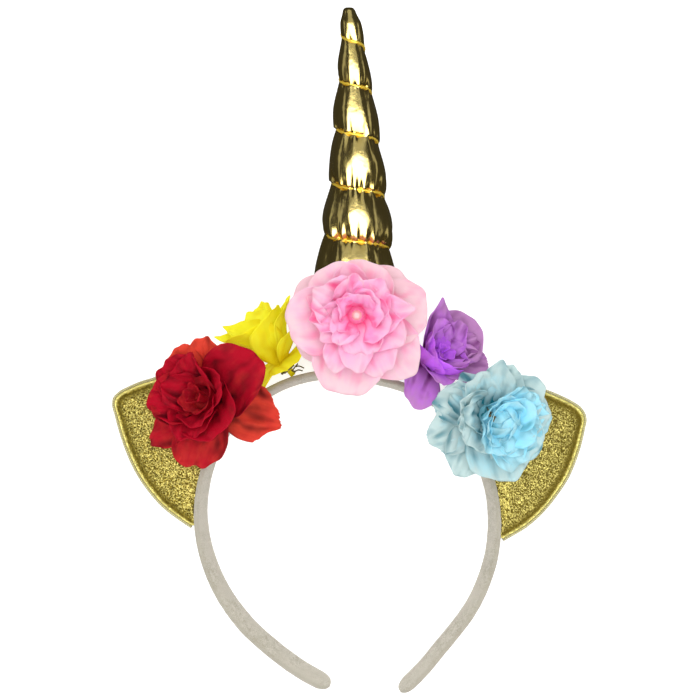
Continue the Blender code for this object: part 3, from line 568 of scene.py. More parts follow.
def petal_group(weave):
    """Starched petal cloth: pale rim, full body, painted shade in a deep colour at the foot and in the creases,
    and streaks that run from the foot.
    """
    group, ends, out = new_group(
        "petal_cloth",
        [
            ("Pale", "Color", colour(1, 1, 1)), ("Body", "Color", colour(1, 1, 1)),
            ("Deep", "Color", colour(1, 1, 1)), ("Tone", "Float", 0.5), ("Reach", "Float", 0.5),
            ("Fold", "Float", 0.0), ("Streaks", "Float", 0.4), ("Map", "Vector", (0, 0, 0)),
        ],
        [("Color", "Color"), ("Height", "Float")],
    )
    stretched = add(group, "VectorMath", {"operation": "MULTIPLY"}, _0=ends.outputs["Map"], _1=(0.75, 0.11, 1.0))
    streaks = noise_of(group, stretched.outputs[0], 1.0, 3.0)
    patches = noise_of(group, ends.outputs["Map"], 0.16, 2.0)
    streak = math_of(group, "MULTIPLY", math_of(group, "SUBTRACT", streaks, 0.5), ends.outputs["Streaks"])
    patch = math_of(group, "MULTIPLY", math_of(group, "SUBTRACT", patches, 0.5), 0.7)
    tone = math_of(group, "ADD", math_of(group, "ADD", ends.outputs["Tone"], streak), patch, clamp=True)
    face = mix_of(group, tone, ends.outputs["Pale"], ends.outputs["Body"])
    # Painted shade: the deep colour at each petal's foot and in its creases
    foot = math_of(group, "SUBTRACT", 1.0, ramp_of(group, ends.outputs["Reach"], 0.05, 0.52))
    deep = math_of(group, "ADD", math_of(group, "MULTIPLY", foot, 0.75), ends.outputs["Fold"], clamp=True)
    group.links.new(mix_of(group, deep, face, ends.outputs["Deep"]), out.inputs["Color"])
    threads = place_group(group, weave, Place=ends.outputs["Map"], Pitch=0.34).outputs["Height"]
    height = math_of(group, "ADD", math_of(group, "MULTIPLY", threads, 0.25), streaks)
    group.links.new(height, out.inputs["Height"])
    return group


def velvet_material(fleck):
    made, tree, shader = new_material("pale_velvet")
    spots = place_group(tree, fleck, Place=object_place(tree), Size=0.55)
    ground = mix_of(tree, spots.outputs["Mask"], colour(0.31, 0.285, 0.215), colour(0.50, 0.47, 0.40))
    wear = noise_of(tree, object_place(tree), 60.0, 2.0)
    ground = mix_of(tree, ramp_of(tree, wear, 0.35, 0.7), ground, colour(0.44, 0.41, 0.34))
    # The front mark paints shade: the band's front edge is coloured darker
    face = mix_of(tree, mark_of(tree, "front"), ground, colour(0.32, 0.295, 0.235))
    tree.links.new(face, shader.inputs["Base Color"])
    tree.links.new(bump_of(tree, spots.outputs["Height"], 0.0004), shader.inputs["Normal"])
    shader.inputs["Roughness"].default_value = 1.0
    shader.inputs["Sheen Weight"].default_value = 0.25
    shader.inputs["Sheen Roughness"].default_value = 0.45
    shader.inputs["Sheen Tint"].default_value = colour(1.0, 0.98, 0.94)
    return made


def foil_material():
    """Gold foil cloth: bright metal with fine crinkles, and painted shade as deeper amber down in the gathers.
    """
    made, tree, shader = new_material("gold_foil")
    place = object_place(tree)
    crinkle = noise_of(tree, place, 420.0, 3.0)
    soft = noise_of(tree, place, 130.0, 2.0)
    gather_shade = mark_of(tree, "gather_shade")
    gold = mix_of(tree, soft, colour(0.84, 0.66, 0.21), colour(0.93, 0.76, 0.31))
    # Painted shade: deeper, darker amber in the gathers beside each thread
    gold = mix_of(tree, gather_shade, gold, colour(0.92, 0.58, 0.03))
    tree.links.new(gold, shader.inputs["Base Color"])
    shader.inputs["Metallic"].default_value = 1.0
    rough = math_of(tree, "ADD", math_of(tree, "MULTIPLY", crinkle, 0.12), 0.12)
    tree.links.new(rough, shader.inputs["Roughness"])
    height = math_of(tree, "ADD", math_of(tree, "MULTIPLY", crinkle, 0.3), soft)
    tree.links.new(bump_of(tree, height, 0.0008, 0.35), shader.inputs["Normal"])
    return made


def thread_material():
    made, tree, shader = new_material("gold_thread")
    place = object_place(tree)
    shade = noise_of(tree, place, 900.0, 2.0)
    gold = mix_of(tree, shade, colour(0.80, 0.48, 0.02), colour(1.0, 0.80, 0.12))
    tree.links.new(gold, shader.inputs["Base Color"])
    shader.inputs["Metallic"].default_value = 0.6
    shader.inputs["Roughness"].default_value = 0.32
    tree.links.new(bump_of(tree, shade, 0.0002), shader.inputs["Normal"])
    return made


def glitter_material(glitter):
    """Glitter cloth: flakes over most of the ear, a smooth channel darkened as painted shade, and a fold
    lightened as a painted highlight.
    """
    made, tree, shader = new_material("gold_glitter")
    flakes = place_group(tree, glitter, Place=object_place(tree), Flake=0.36, Lump=1.15, Tilt=0.9)
    channel_shade, fold_highlight = mark_of(tree, "channel_shade"), mark_of(tree, "fold_highlight")
    ground = mix_of(tree, flakes.outputs["Flash"], colour(0.10, 0.072, 0.004), colour(0.26, 0.19, 0.012))
    face = mix_of(tree, flakes.outputs["Worms"], ground, colour(0.78, 0.66, 0.17))
    smooth = mix_of(tree, flakes.outputs["Flash"], colour(0.15, 0.105, 0.004), colour(0.22, 0.165, 0.01))
    # Painted shade: the smooth channel inside the rim is coloured dark
    face = mix_of(tree, channel_shade, face, smooth)
    # Painted highlight: the fold at the rim is coloured bright
    face = mix_of(tree, fold_highlight, face, colour(0.70, 0.62, 0.18))
    tree.links.new(face, shader.inputs["Base Color"])
    tree.links.new(flakes.outputs["Normal"], shader.inputs["Normal"])
    shader.inputs["Metallic"].default_value = 0.5
    shader.inputs["Roughness"].default_value = 0.42
    return made


def edging_material(fleck):
    made, tree, shader = new_material("gold_edging")
    spots = place_group(tree, fleck, Place=object_place(tree), Size=0.4)
    stitch_highlight = mark_of(tree, "stitch_highlight")
    face = mix_of(tree, spots.outputs["Mask"], colour(0.22, 0.20, 0.08), colour(0.42, 0.38, 0.18))
    # Painted highlight: each stitch's crest is coloured lighter than the grooves between
    face = mix_of(tree, stitch_highlight, face, colour(0.58, 0.54, 0.30))
    tree.links.new(face, shader.inputs["Base Color"])
    tree.links.new(bump_of(tree, spots.outputs["Height"], 0.0003), shader.inputs["Normal"])
    shader.inputs["Metallic"].default_value = 0.25
    shader.inputs["Roughness"].default_value = 0.6
    shader.inputs["Sheen Weight"].default_value = 0.3
    return made


def petal_material(name, petal_cloth, pale, body, deep, glow, gloss):
    """Thin petal cloth that lets some light through from behind, and glows faintly in its own colour as painted
    light.
    """
    made, tree, shader = new_material(name)
    cloth = tree.nodes.new("ShaderNodeUVMap")
    cloth.uv_map = "cloth"
    look = place_group(
        tree, petal_cloth, Pale=pale, Body=body, Deep=deep, Tone=mark_of(tree, "tone"),
        Reach=mark_of(tree, "reach"), Fold=mark_of(tree, "crease_shade"), Map=cloth.outputs[0],
    )
    tree.links.new(look.outputs["Color"], shader.inputs["Base Color"])
    # Painted light: the petals glow faintly in their own colour, brightening their shade
    tree.links.new(look.outputs["Color"], shader.inputs["Emission Color"])
    shader.inputs["Emission Strength"].default_value = 0.16
    normal = bump_of(tree, look.outputs["Height"], 0.0003, 0.8)
    tree.links.new(normal, shader.inputs["Normal"])
    shader.inputs["Roughness"].default_value = gloss
    shader.inputs["Specular IOR Level"].default_value = 0.1
    behind = add(tree, "BsdfTranslucent", None, Color=look.outputs["Color"], Normal=normal)
    both = add(tree, "MixShader", None, _0=glow, _1=shader.outputs[0], _2=behind.outputs[0])
    tree.links.new(both.outputs[0], tree.nodes["Material Output"].inputs["Surface"])
    return made


def stone_material():
    made, tree, shader = new_material("clear_stone")
    shader.inputs["Base Color"].default_value = colour(0.92, 0.46, 0.45)
    shader.inputs["Roughness"].default_value = 0.03
    shader.inputs["IOR"].default_value = 1.5
    shader.inputs["Transmission Weight"].default_value = 0.25
    return made


# Band


def band_middle(angle):
    radius = smooth_value(BAND_PATH, 1, angle)
    turn = np.radians(angle)
    x, y = HEAD_CENTRE
    return np.stack((x + radius * np.cos(turn), y + radius * np.sin(turn), np.zeros_like(turn)), axis=-1)


def band_frame(angle):
    """The strip's middle, its width direction (to the front) and its thickness direction (outward)."""
    step = 0.5
    along = unit(band_middle(angle + step) - band_middle(angle - step))
    outward = np.stack((along[..., 1], -along[..., 0], np.zeros_like(angle)), axis=-1)
    flare = np.radians(smooth_value(BAND_PATH, 2, angle))[..., None]
    front = np.array((0.0, 0.0, 1.0))
    across = front * np.cos(flare) + outward * np.sin(flare)
    through = outward * np.cos(flare) - front * np.sin(flare)
    return band_middle(angle), across, through


def make_band(finish):
    """Rounded strip with rounded tips, its cloth slightly lumpy over the hoop."""
    first, last = BAND_PATH[0][0], BAND_PATH[-1][0]
    half = BAND_WIDTH / 2
    clear_first = math.degrees(half / BAND_PATH[0][1])
    clear_last = math.degrees(half / BAND_PATH[-1][1])
    quarter = np.radians(np.linspace(4.0, 86.0, 12))
    back, small = 1 - np.cos(quarter), np.sin(quarter)
    middle_turns = np.arange(first + clear_first, last - clear_last, BAND_TURN_STEP)
    angle = np.concatenate((first + back * clear_first, middle_turns, (last - back * clear_last)[::-1]))
    share = np.concatenate((small, np.ones(len(middle_turns)), small[::-1]))
    middle, across, through = band_frame(angle)
    turn = 2 * math.pi * np.arange(BAND_SECTION_POINTS) / BAND_SECTION_POINTS
    corner = 0.42
    wide = np.sign(np.cos(turn)) * np.abs(np.cos(turn)) ** corner
    deep = np.sign(np.sin(turn)) * np.abs(np.sin(turn)) ** 0.8
    width = half * share[:, None] * wide[None, :]
    depth = BAND_THICKNESS / 2 * (0.5 + 0.5 * share[:, None]) * deep[None, :]
    points = middle[:, None] + width[..., None] * across[:, None] + depth[..., None] * through[:, None]
    outward = unit(np.sign(wide)[None, :, None] * np.abs(wide)[None, :, None] * across[:, None] * 0.4
                   + deep[None, :, None] * through[:, None])
    flat = points.reshape(-1, 3)
    lumps = 0.10 * roughly(flat, 6.0, 1.0) + 0.07 * roughly(flat, 1.3, 2.0)
    points = flat + lumps[:, None] * outward.reshape(-1, 3)
    rings = len(angle)
    faces = grid_faces(rings, BAND_SECTION_POINTS, closed=True).tolist()
    faces.append(list(range(BAND_SECTION_POINTS))[::-1])
    faces.append([(rings - 1) * BAND_SECTION_POINTS + k for k in range(BAND_SECTION_POINTS)])
    # Mark for the painted shade along the band's front edge
    front = np.broadcast_to(0.6 * eased(wide, 0.75, 0.99), (rings, BAND_SECTION_POINTS))
    band = piece_from("velvet_band", points, faces, finish, {"front": front})
    stands_for(band, "band")
    return band


# Horn


def horn_turn(share):
    return share - HORN_SWAY * np.sin(2 * math.pi * share)


def horn_height(grooves_down):
    return np.interp(grooves_down, range(len(HORN_GROOVES)), HORN_GROOVES)


def horn_count(height):
    return np.interp(-height, [-g for g in HORN_GROOVES], range(len(HORN_GROOVES)))


def end_rounding(distance, rounding):
    length, start = rounding
    share = np.minimum(1.0, (np.maximum(0.0, distance) + start) / length)
    return np.sqrt(1 - (1 - share) ** 2)


def horn_outer(height):
    """Radius over the puffs."""
    radius = HORN_TIP_RADIUS + HORN_TAPER * (HORN_TOP - np.maximum(height, HORN_WIDEST))
    radius = radius - HORN_FOOT_TAPER * np.maximum(0.0, HORN_WIDEST - height)
    drawn_in, length = HORN_KNOB
    radius = radius * (1 - drawn_in * (1 - eased(HORN_TOP - height, 0.2 * length, length)))
    return radius * end_rounding(HORN_TOP - height, HORN_TIP_ROUNDING) * end_rounding(
        height - HORN_BASE, HORN_FOOT_ROUNDING)


def horn_points(down, share, lift):
    """Points at a count of grooves from the tip and a share of a turn, lifted off the plain form."""
    height = horn_height(down)
    phase = (down - horn_turn(share)) % 1.0
    puff = np.sin(math.pi * phase**HORN_PUFF_DROOP) ** HORN_PUFF_POWER
    radius = horn_outer(height) * (1 - HORN_GROOVE_DEPTH * (1 - puff)) + lift
    turn = 2 * math.pi * share
    sideways = smooth_value(HORN_AXIS, 1, height)
    return np.stack((sideways + radius * np.sin(turn), height, radius * np.cos(turn)), axis=-1)


def make_horn(finish):
    """Foil over stuffing: puffs between the turns of thread, with gathers that fade from each thread."""
    top, base = float(horn_count(HORN_TOP)), float(horn_count(HORN_BASE))
    rows = (math.ceil(base - top) + 2) * HORN_ROWS_A_PUFF
    first = math.floor(top) - 1
    row, side = np.meshgrid(np.arange(rows + 1), np.arange(HORN_SIDES + 1), indexing="ij")
    share = side / HORN_SIDES - 0.5
    raw = first + row / HORN_ROWS_A_PUFF + horn_turn(share)
    down = np.clip(raw, top, base)
    phase = (down - horn_turn(share)) % 1.0
    height = horn_height(down)
    outer = horn_outer(height)
    plain = horn_points(down, share, 0.0).reshape(-1, 3)
    across = 2 * math.pi * share * outer
    spiral = np.floor(down - horn_turn(share))
    gather_place = np.stack((across / 2.1, spiral * 7.7, height * 0.05), axis=-1).reshape(-1, 3)
    pleats = roughly(gather_place, 1.0, 3.0).reshape(down.shape)
    puff_length = 22.0
    above = (1 - phase) * puff_length
    below = phase * puff_length
    room = np.minimum(1.0, outer / 12.0)
    near = np.exp(-above / 3.6) + 0.6 * np.exp(-below / 2.6)
    wrinkle_place = np.stack((across / 7.0, height / 16.0, spiral * 3.1), axis=-1).reshape(-1, 3)
    wrinkles = roughly(wrinkle_place, 1.0, 5.0).reshape(down.shape)
    lift = room * (2.2 * near * pleats + 0.9 * wrinkles)
    inside = (raw > top) & (raw < base)
    lift = np.where(inside, lift, 0.0)
    points = horn_points(down, share, lift).reshape(-1, 3)
    faces = grid_faces(rows + 1, HORN_SIDES + 1)
    level = raw.reshape(-1)[faces]
    kept = faces[~((level <= top).all(axis=1) | (level >= base).all(axis=1))]
    # Mask for the painted shade in the foil's gathers beside each thread
    gather_shade = np.clip(near * 0.8 * (0.5 - pleats), 0, 1).reshape(-1)
    horn = piece_from("foil_horn", points, kept.tolist(), finish, {"gather_shade": gather_shade})
    close_up(horn)
    stands_for(horn, "horn")
    return horn


def close_up(piece):
    """Welds the seam of a wound sheet, drops loose points and fills the two ends."""
    build = bmesh.new()
    build.from_mesh(piece.data)
    bmesh.ops.remove_doubles(build, verts=build.verts, dist=0.00002)
    loose = [v for v in build.verts if not v.link_faces]
    bmesh.ops.delete(build, geom=loose, context="VERTS")
    edges = [e for e in build.edges if e.is_boundary]
    bmesh.ops.holes_fill(build, edges=edges, sides=0)
    bmesh.ops.recalc_face_normals(build, faces=build.faces)
    build.to_mesh(piece.data)
    build.free()
    piece.data.shade_smooth()


def tube_points(path, radius, sides, normal=None, shape=None):
    """Rings round a path. The shape gives each ring's radius by its turn and its place."""
    along = unit(np.gradient(path, axis=0))
    if normal is None:
        normal = np.array((0.0, 1.0, 0.0))
    side = unit(np.cross(along, normal))
    over = np.cross(side, along)
    turn = 2 * math.pi * np.arange(sides) / sides
    rings = np.full((len(path), sides), radius) if shape is None else shape(turn)
    return path[:, None] + rings[..., None] * (
        np.cos(turn)[None, :, None] * side[:, None] + np.sin(turn)[None, :, None] * over[:, None])


def tube_faces(rings, sides, start=0):
    faces = grid_faces(rings, sides, start, closed=True).tolist()
    faces.append([start + k for k in range(sides)][::-1])
    faces.append([start + (rings - 1) * sides + k for k in range(sides)])
    return faces


def make_thread(finish):
    """Two-ply thread that lies in the grooves from tip to foot."""
    top, base = float(horn_count(HORN_TOP)) + 0.25, float(horn_count(HORN_BASE)) - 0.25
    count = 1500
    turns = np.linspace(top, base, count)
    share = (turns + 0.5) % 1.0 - 0.5
    whole = np.round(turns - share)
    down = whole + horn_turn(share)
    height = horn_height(down)
    radius = horn_outer(height) * (1 - HORN_GROOVE_DEPTH) + 0.35 * THREAD_RADIUS
    angle = 2 * math.pi * share
    sideways = smooth_value(HORN_AXIS, 1, height)
    path = np.stack((sideways + radius * np.sin(angle), height, radius * np.cos(angle)), axis=-1)
    run = np.concatenate(([0.0], np.cumsum(np.linalg.norm(np.diff(path, axis=0), axis=1))))
    even = np.arange(0.0, run[-1], THREAD_STEP)
    path = np.stack([np.interp(even, run, path[:, axis]) for axis in range(3)], axis=-1)

    def two_plies(turn):
        twist = 2 * math.pi * even[:, None] / THREAD_TWIST
        return THREAD_RADIUS * (0.82 + 0.28 * np.cos(2 * (turn[None, :] - twist)))

    sides = 10
    points = tube_points(path, THREAD_RADIUS, sides, shape=two_plies).reshape(-1, 3)
    thread = piece_from("winding_thread", points, tube_faces(len(path), sides), finish)
    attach(thread, "root")
    return thread


# Ears


def hinge_of(ear):
    low, high = np.array(ear["outline"][0]), np.array(ear["outline"][-1])
    along = unit(high - low)
    away = np.array((along[1], -along[0]))
    tip = max(ear["outline"], key=lambda p: np.linalg.norm(np.array(p) - low))
    if away @ (np.array(tip) - low) < 0:
        away = -away
    return low, away


def ear_depth(ear, flat):
    low, away = hinge_of(ear)
    return EAR_HINGE_DEPTH - math.tan(ear["lean"]) * ((flat - low) @ away)


def ear_normal(ear):
    _, away = hinge_of(ear)
    lean = math.tan(ear["lean"])
    return unit(np.array((lean * away[0], lean * away[1], 1.0)))


def inset(points, distance):
    """The open outline moved inward by a distance."""
    along = unit(np.gradient(points, axis=0))
    normal = np.column_stack((-along[:, 1], along[:, 0]))
    side = np.sign(((points.mean(axis=0) - points) * normal).sum())
    return points + side * distance * normal


def rounded_path(points, step):
    """A smooth line through points, with a point each step."""
    points = np.asarray(points, float)
    run = np.concatenate(([0.0], np.cumsum(np.linalg.norm(np.diff(points, axis=0), axis=1))))
    table = np.column_stack((run, points))
    at = np.linspace(0.0, run[-1], max(3, int(run[-1] / step)))
    return np.column_stack([smooth_value(table, axis + 1, at) for axis in range(points.shape[1])])


def make_ear(side, ear, finish):
    """Padded panel: a fold at the rim with a painted highlight, a stitched-down channel with painted shade, then
    the padding's swell.
    """
    free = inset(rounded_path(ear["outline"], EAR_STEP), 2 * EAR_STITCH[0] + 0.05)
    turns = np.linspace(*ear["foot_angles"], int(60 / EAR_STEP))
    outward = unit(band_frame(turns)[2] * np.array((1.0, 1.0, 0.0)))
    foot = (band_middle(turns) + outward * (BAND_THICKNESS / 2 + 0.3))[:, :2]
    loop = np.vstack((free, foot))
    middle = loop.mean(axis=0)
    normal = ear_normal(ear)
    reach = np.linalg.norm(loop - middle, axis=1)
    close = np.array((0.0, 0.35, 0.7, 1.05, 1.4, 1.8, 2.3, 2.9, 3.6, 4.4, 5.4, 6.6))
    far = np.linspace(0.32, 1.0, EAR_RINGS - len(close) + 1)[:-1]
    on_free = np.arange(len(loop)) < len(free)
    points, marks = [], {"channel_shade": [], "fold_highlight": []}
    swell = EAR_THICKNESS / 2
    for face in (1, -1):
        for ring in range(EAR_RINGS):
            if ring < len(close):
                share = np.minimum(close[ring] / reach, 0.30)
            else:
                share = np.full(len(loop), far[ring - len(close)])
            flat = loop + (middle - loop) * share[:, None]
            edge = share * reach
            bead = 0.85 * np.sqrt(np.clip(1 - ((edge - 0.55) / 0.75) ** 2, 0, 1))
            pad = swell * (0.16 + 0.84 * np.sin(np.clip((edge - 1.9) / 20.0, 0, 1) * math.pi / 2) ** 0.62)
            pad = np.where(edge < 1.9, 0.16 * swell, pad)
            free_height = np.maximum(bead, pad)
            foot_height = swell * (0.30 + 0.7 * np.sin(np.clip(edge / 20.0, 0, 1) * math.pi / 2) ** 0.7)
            height = np.where(on_free, free_height, foot_height)
            depth = ear_depth(ear, flat)
            base = np.column_stack((flat, depth))
            lumps = 0.16 * eased(edge, 2.0, 5.0) * roughly(base, 5.0, 4.0 + face)
            points.append(base + face * (height + lumps)[:, None] * normal)
            # Masks for the painted shade in the channel and the painted highlight on the rim's fold
            marks["channel_shade"].append(np.where(on_free, 1 - eased(edge, 2.2, 6.0), 0.0))
            marks["fold_highlight"].append(np.where(on_free, 1 - eased(edge, 0.75, 1.25), 0.0))
        centre = np.append(middle, ear_depth(ear, middle)) + face * swell * normal
        points.append(centre[None, :])
        marks["channel_shade"].append([0.0])
        marks["fold_highlight"].append([0.0])
    count = len(loop)
    block = count * EAR_RINGS + 1
    faces = []
    for start in (0, block):
        faces += grid_faces(EAR_RINGS, count, start, closed=True).tolist()
        last = start + (EAR_RINGS - 1) * count
        faces += [[last + i, last + (i + 1) % count, start + block - 1] for i in range(count)]
    faces += [[i, (i + 1) % count, block + (i + 1) % count, block + i] for i in range(count)]
    marks = {name: np.concatenate(values) for name, values in marks.items()}
    made = piece_from(f"{side}_glitter_ear", np.vstack(points), faces, finish, marks)
    close_up(made)
    stands_for(made, f"{side}_ear")
    return made


def make_ear_edge(side, ear, finish):
    """Overcast edging: close stitches wound round the rim."""
    path = rounded_path(inset(rounded_path(ear["outline"], EAR_STEP), EAR_STITCH[0]), 0.2)
    path = np.column_stack((path, ear_depth(ear, path)))
    run = np.concatenate(([0.0], np.cumsum(np.linalg.norm(np.diff(path, axis=0), axis=1))))
    pitch, sides = 0.95, 12
    wide, high = EAR_STITCH

    def stitches(turn):
        slant = run[:, None] / pitch + turn[None, :] / (2 * math.pi)
        oval = 1 / np.sqrt((np.cos(turn) / wide) ** 2 + (np.sin(turn) / high) ** 2)
        return oval[None, :] * (0.84 + 0.16 * np.abs(np.sin(math.pi * slant)))

    points = tube_points(path, wide, sides, ear_normal(ear), stitches).reshape(-1, 3)
    turn = 2 * math.pi * np.arange(sides) / sides
    # Mask for the painted highlight on each stitch's crest
    crest = np.abs(np.sin(math.pi * (run[:, None] / pitch + turn[None, :] / (2 * math.pi))))
    made = piece_from(f"{side}_stitched_edge", points, tube_faces(len(path), sides), finish,
                      {"stitch_highlight": eased(crest, 0.55, 1.0)})
    stands_for(made, f"{side}_ear_edge")
    return made


# Flowers


def flower_axes(flower, facing):
    facing = unit(np.array(flower[facing]))
    right = unit(np.array((1.0, 0.0, 0.0)) - facing[0] * facing)
    return right, np.cross(facing, right), facing


def petal_width(share):
    """Half width along the petal as a share: narrow foot, full past the middle, drawn in at the rim."""
    foot, widest = 0.36, 0.6
    grown = foot + (1 - foot) * np.sin(math.pi / 2 * np.clip(share / widest, 0, 1))
    return grown * (1 - 0.2 * eased(share, widest, 1.1))


def petal_sheet(flower, petal, seed):
    """The middle surface of one petal with its cup, curl, creases and ruffle, and its marks."""
    draw = np.random.default_rng(seed)
    axes = flower_axes(flower, "core_facing" if petal["rise"] > 2.0 else "facing")
    right, up, facing = axes
    turn = math.radians(petal["turn"])
    out = math.cos(turn) * right + math.sin(turn) * up
    aside = -math.sin(turn) * right + math.cos(turn) * up
    share, over = np.meshgrid(
        np.linspace(0, 1, PETAL_ROWS + 1), np.linspace(-1, 1, PETAL_LINES + 1), indexing="ij")
    phases = draw.uniform(0, 2 * math.pi, 6)
    wobble = 0.035 * np.sin(2.3 * over + phases[0]) + 0.022 * np.sin(5.1 * over + phases[1])
    wobble = min(1.2, petal["ruffle"]) * (wobble + 0.012 * np.sin(9.7 * over + phases[2]))
    if petal["ruffle"] > 1.3:
        wobble = wobble + 0.018 * np.sin(24.0 * over + phases[3]) * np.sin(17.0 * over + phases[4])
    point = petal["tip"] * (np.exp(-(over / 0.3) ** 2) - 0.3)
    reach = share * (1 - 0.27 * np.abs(over) ** 2.7 + point + wobble * share)
    table = np.linspace(0.0, 1.4, 141)
    lean = np.radians(petal["opens"] + (petal["ends"] - petal["opens"]) * np.minimum(table, 1.0)
                      + petal["curl"] * eased(table, 0.6, 1.02))
    step = petal["length"] * (table[1] - table[0])
    outward = np.concatenate(([0.0], np.cumsum(np.sin((lean[1:] + lean[:-1]) / 2)) * step))
    along = np.concatenate(([0.0], np.cumsum(np.cos((lean[1:] + lean[:-1]) / 2)) * step))
    here = np.interp(reach, table, lean)
    wrap = math.radians(petal["wrap"])
    bend = petal["width"] / 2 / wrap
    side = wrap * petal_width(reach) * over
    inward = bend * (1 - np.cos(side))
    from_axis = petal["start"] + np.interp(reach, table, outward) - np.cos(here) * inward
    height = petal["rise"] + np.interp(reach, table, along) + np.sin(here) * inward
    sway = draw.uniform(-0.06, 0.06) * petal["length"] * reach**2
    points = (np.array(flower["heart"]) + from_axis[..., None] * out + height[..., None] * facing
              + (bend * np.sin(side) + sway)[..., None] * aside)
    normal = unit(np.cross(np.gradient(points, axis=0), np.gradient(points, axis=1)))
    flat = points.reshape(-1, 3)
    soft = roughly(flat, 7.0, seed % 97).reshape(reach.shape)
    fine = roughly(flat, 3.2, seed % 89 + 5).reshape(reach.shape)
    rim = eased(reach, 0.35, 1.0) * (0.35 + 0.65 * np.abs(over))
    waves = np.sin(petal["width"] / 4.2 * over + phases[3])
    waves = waves + 0.5 * np.sin(petal["width"] / 2.3 * over + phases[4])
    creases = np.sin(petal["width"] / 2.6 * over + 3 * soft + phases[5])
    pinch = eased(reach, 0.0, 0.25) * (1 - eased(reach, 0.45, 1.0))
    lift = petal["ruffle"] * (0.75 * rim * waves + 0.8 * eased(reach, 0.2, 0.8) * soft + 0.35 * fine * reach)
    fold_place = np.stack((petal["width"] / 8.4 * over + 3.1 * seed, 1.6 * reach, 0.7 * over), axis=-1)
    folds = roughly(fold_place.reshape(-1, 3), 1.0, seed % 83 + 9).reshape(reach.shape)
    crumple = (0.5 - np.abs(folds) * 2.4) * eased(reach, 0.1, 0.55)
    folded = max(0.0, petal["ruffle"] - 0.3)
    lift = lift + 0.28 * pinch * creases + 1.0 * folded * crumple
    points = points + lift[..., None] * normal
    # Mask for painted shade in the creases, pinches and crumples
    crease_shade = 0.5 * pinch * -creases - 0.25 * fine - 0.3 * soft
    crease_shade = np.clip(crease_shade - 0.6 * min(1.0, folded) * (crumple - 0.1), 0, 0.8)
    across_mm = petal["width"] / 2 * over * petal_width(reach) + 40.0 * draw.uniform(0, 1)
    along_mm = petal["length"] * reach + 40.0 * draw.uniform(0, 1)
    # Reach also sets the painted shade at the petal's foot
    marks = {
        "tone": petal["tone"] + 0.15 * soft - flower["rim_fade"] * eased(reach, 0.7, 1.0),
        "reach": reach,
        "crease_shade": crease_shade,
    }
    return points, marks, np.stack((across_mm, along_mm), axis=-1)


def bud_sheet(flower, bud):
    """The rolled core of a rose: one strip wound outward, its rim flared and wavy."""
    right, up, facing = flower_axes(flower, "core_facing")
    height, run = np.meshgrid(np.linspace(0, 1, 25), np.linspace(0, 1, 150), indexing="ij")
    turn = math.radians(bud["starts"]) + 2 * math.pi * bud["turns"] * run
    wave = np.sin(3.4 * turn) + 0.6 * np.sin(7.9 * turn + 1.0)
    radius = bud["from"] + (bud["to"] - bud["from"]) * run
    radius = radius * (0.55 + 0.45 * eased(height, 0.0, 0.5))
    radius = radius + bud["flare"] * (0.25 + run) * eased(height, 0.62, 1.0) ** 2
    radius = radius + 0.6 * eased(height, 0.4, 1.0) * wave
    tall = bud["tall"] - bud["drop"] * run + 0.5 * wave
    rise = height * tall
    points = (np.array(flower["heart"]) + rise[..., None] * facing
              + (radius * np.cos(turn))[..., None] * right + (radius * np.sin(turn))[..., None] * up)
    # Painted shade in the folds of the rolled core; its reach mark also darkens its bottom
    crease_shade = np.clip(-0.25 * wave, 0, 0.4)
    marks = {"tone": np.full(run.shape, 0.9), "reach": 0.25 + 0.75 * height, "crease_shade": crease_shade}
    return points, marks, np.stack((radius * turn, rise), axis=-1)


def foot_sheet(flower):
    """The foot from its seat and the dome under the inner petals, as a closed shape."""
    right, up, facing = flower_axes(flower, "facing")
    core = flower_axes(flower, "core_facing")[2]
    seat, heart = np.array(flower["seat"]), np.array(flower["heart"])
    wide, high = flower["dome"]
    rings = [(seat + (heart - seat) * share, reach * flower["stem"]) for share, reach in STEM_PROFILE]
    rings += [(heart + share * high * core, reach * wide) for share, reach in DOME_PROFILE]
    turn = 2 * math.pi * np.arange(24) / 24
    ring_way = np.cos(turn)[:, None] * right + np.sin(turn)[:, None] * up
    return np.array([centre + radius * ring_way for centre, radius in rings])


def thick_sheet(points, thickness):
    """Points and faces of a sheet's two faces and the rim between them."""
    rows, columns = points.shape[:2]
    normal = unit(np.cross(np.gradient(points, axis=0), np.gradient(points, axis=1)))
    both = np.concatenate([(points + side * thickness * normal).reshape(-1, 3) for side in (0.5, -0.5)])
    quads = grid_faces(rows, columns)
    block = rows * columns
    rim = list(range(columns)) + [r * columns + columns - 1 for r in range(1, rows)]
    rim += [(rows - 1) * columns + c for c in range(columns - 2, -1, -1)]
    rim += [r * columns for r in range(rows - 2, 0, -1)]
    rim = np.array(rim)
    after = np.roll(rim, -1)
    band = np.column_stack((rim, rim + block, after + block, after))
    return both, np.concatenate((quads[:, ::-1], quads + block, band[:, ::-1]))


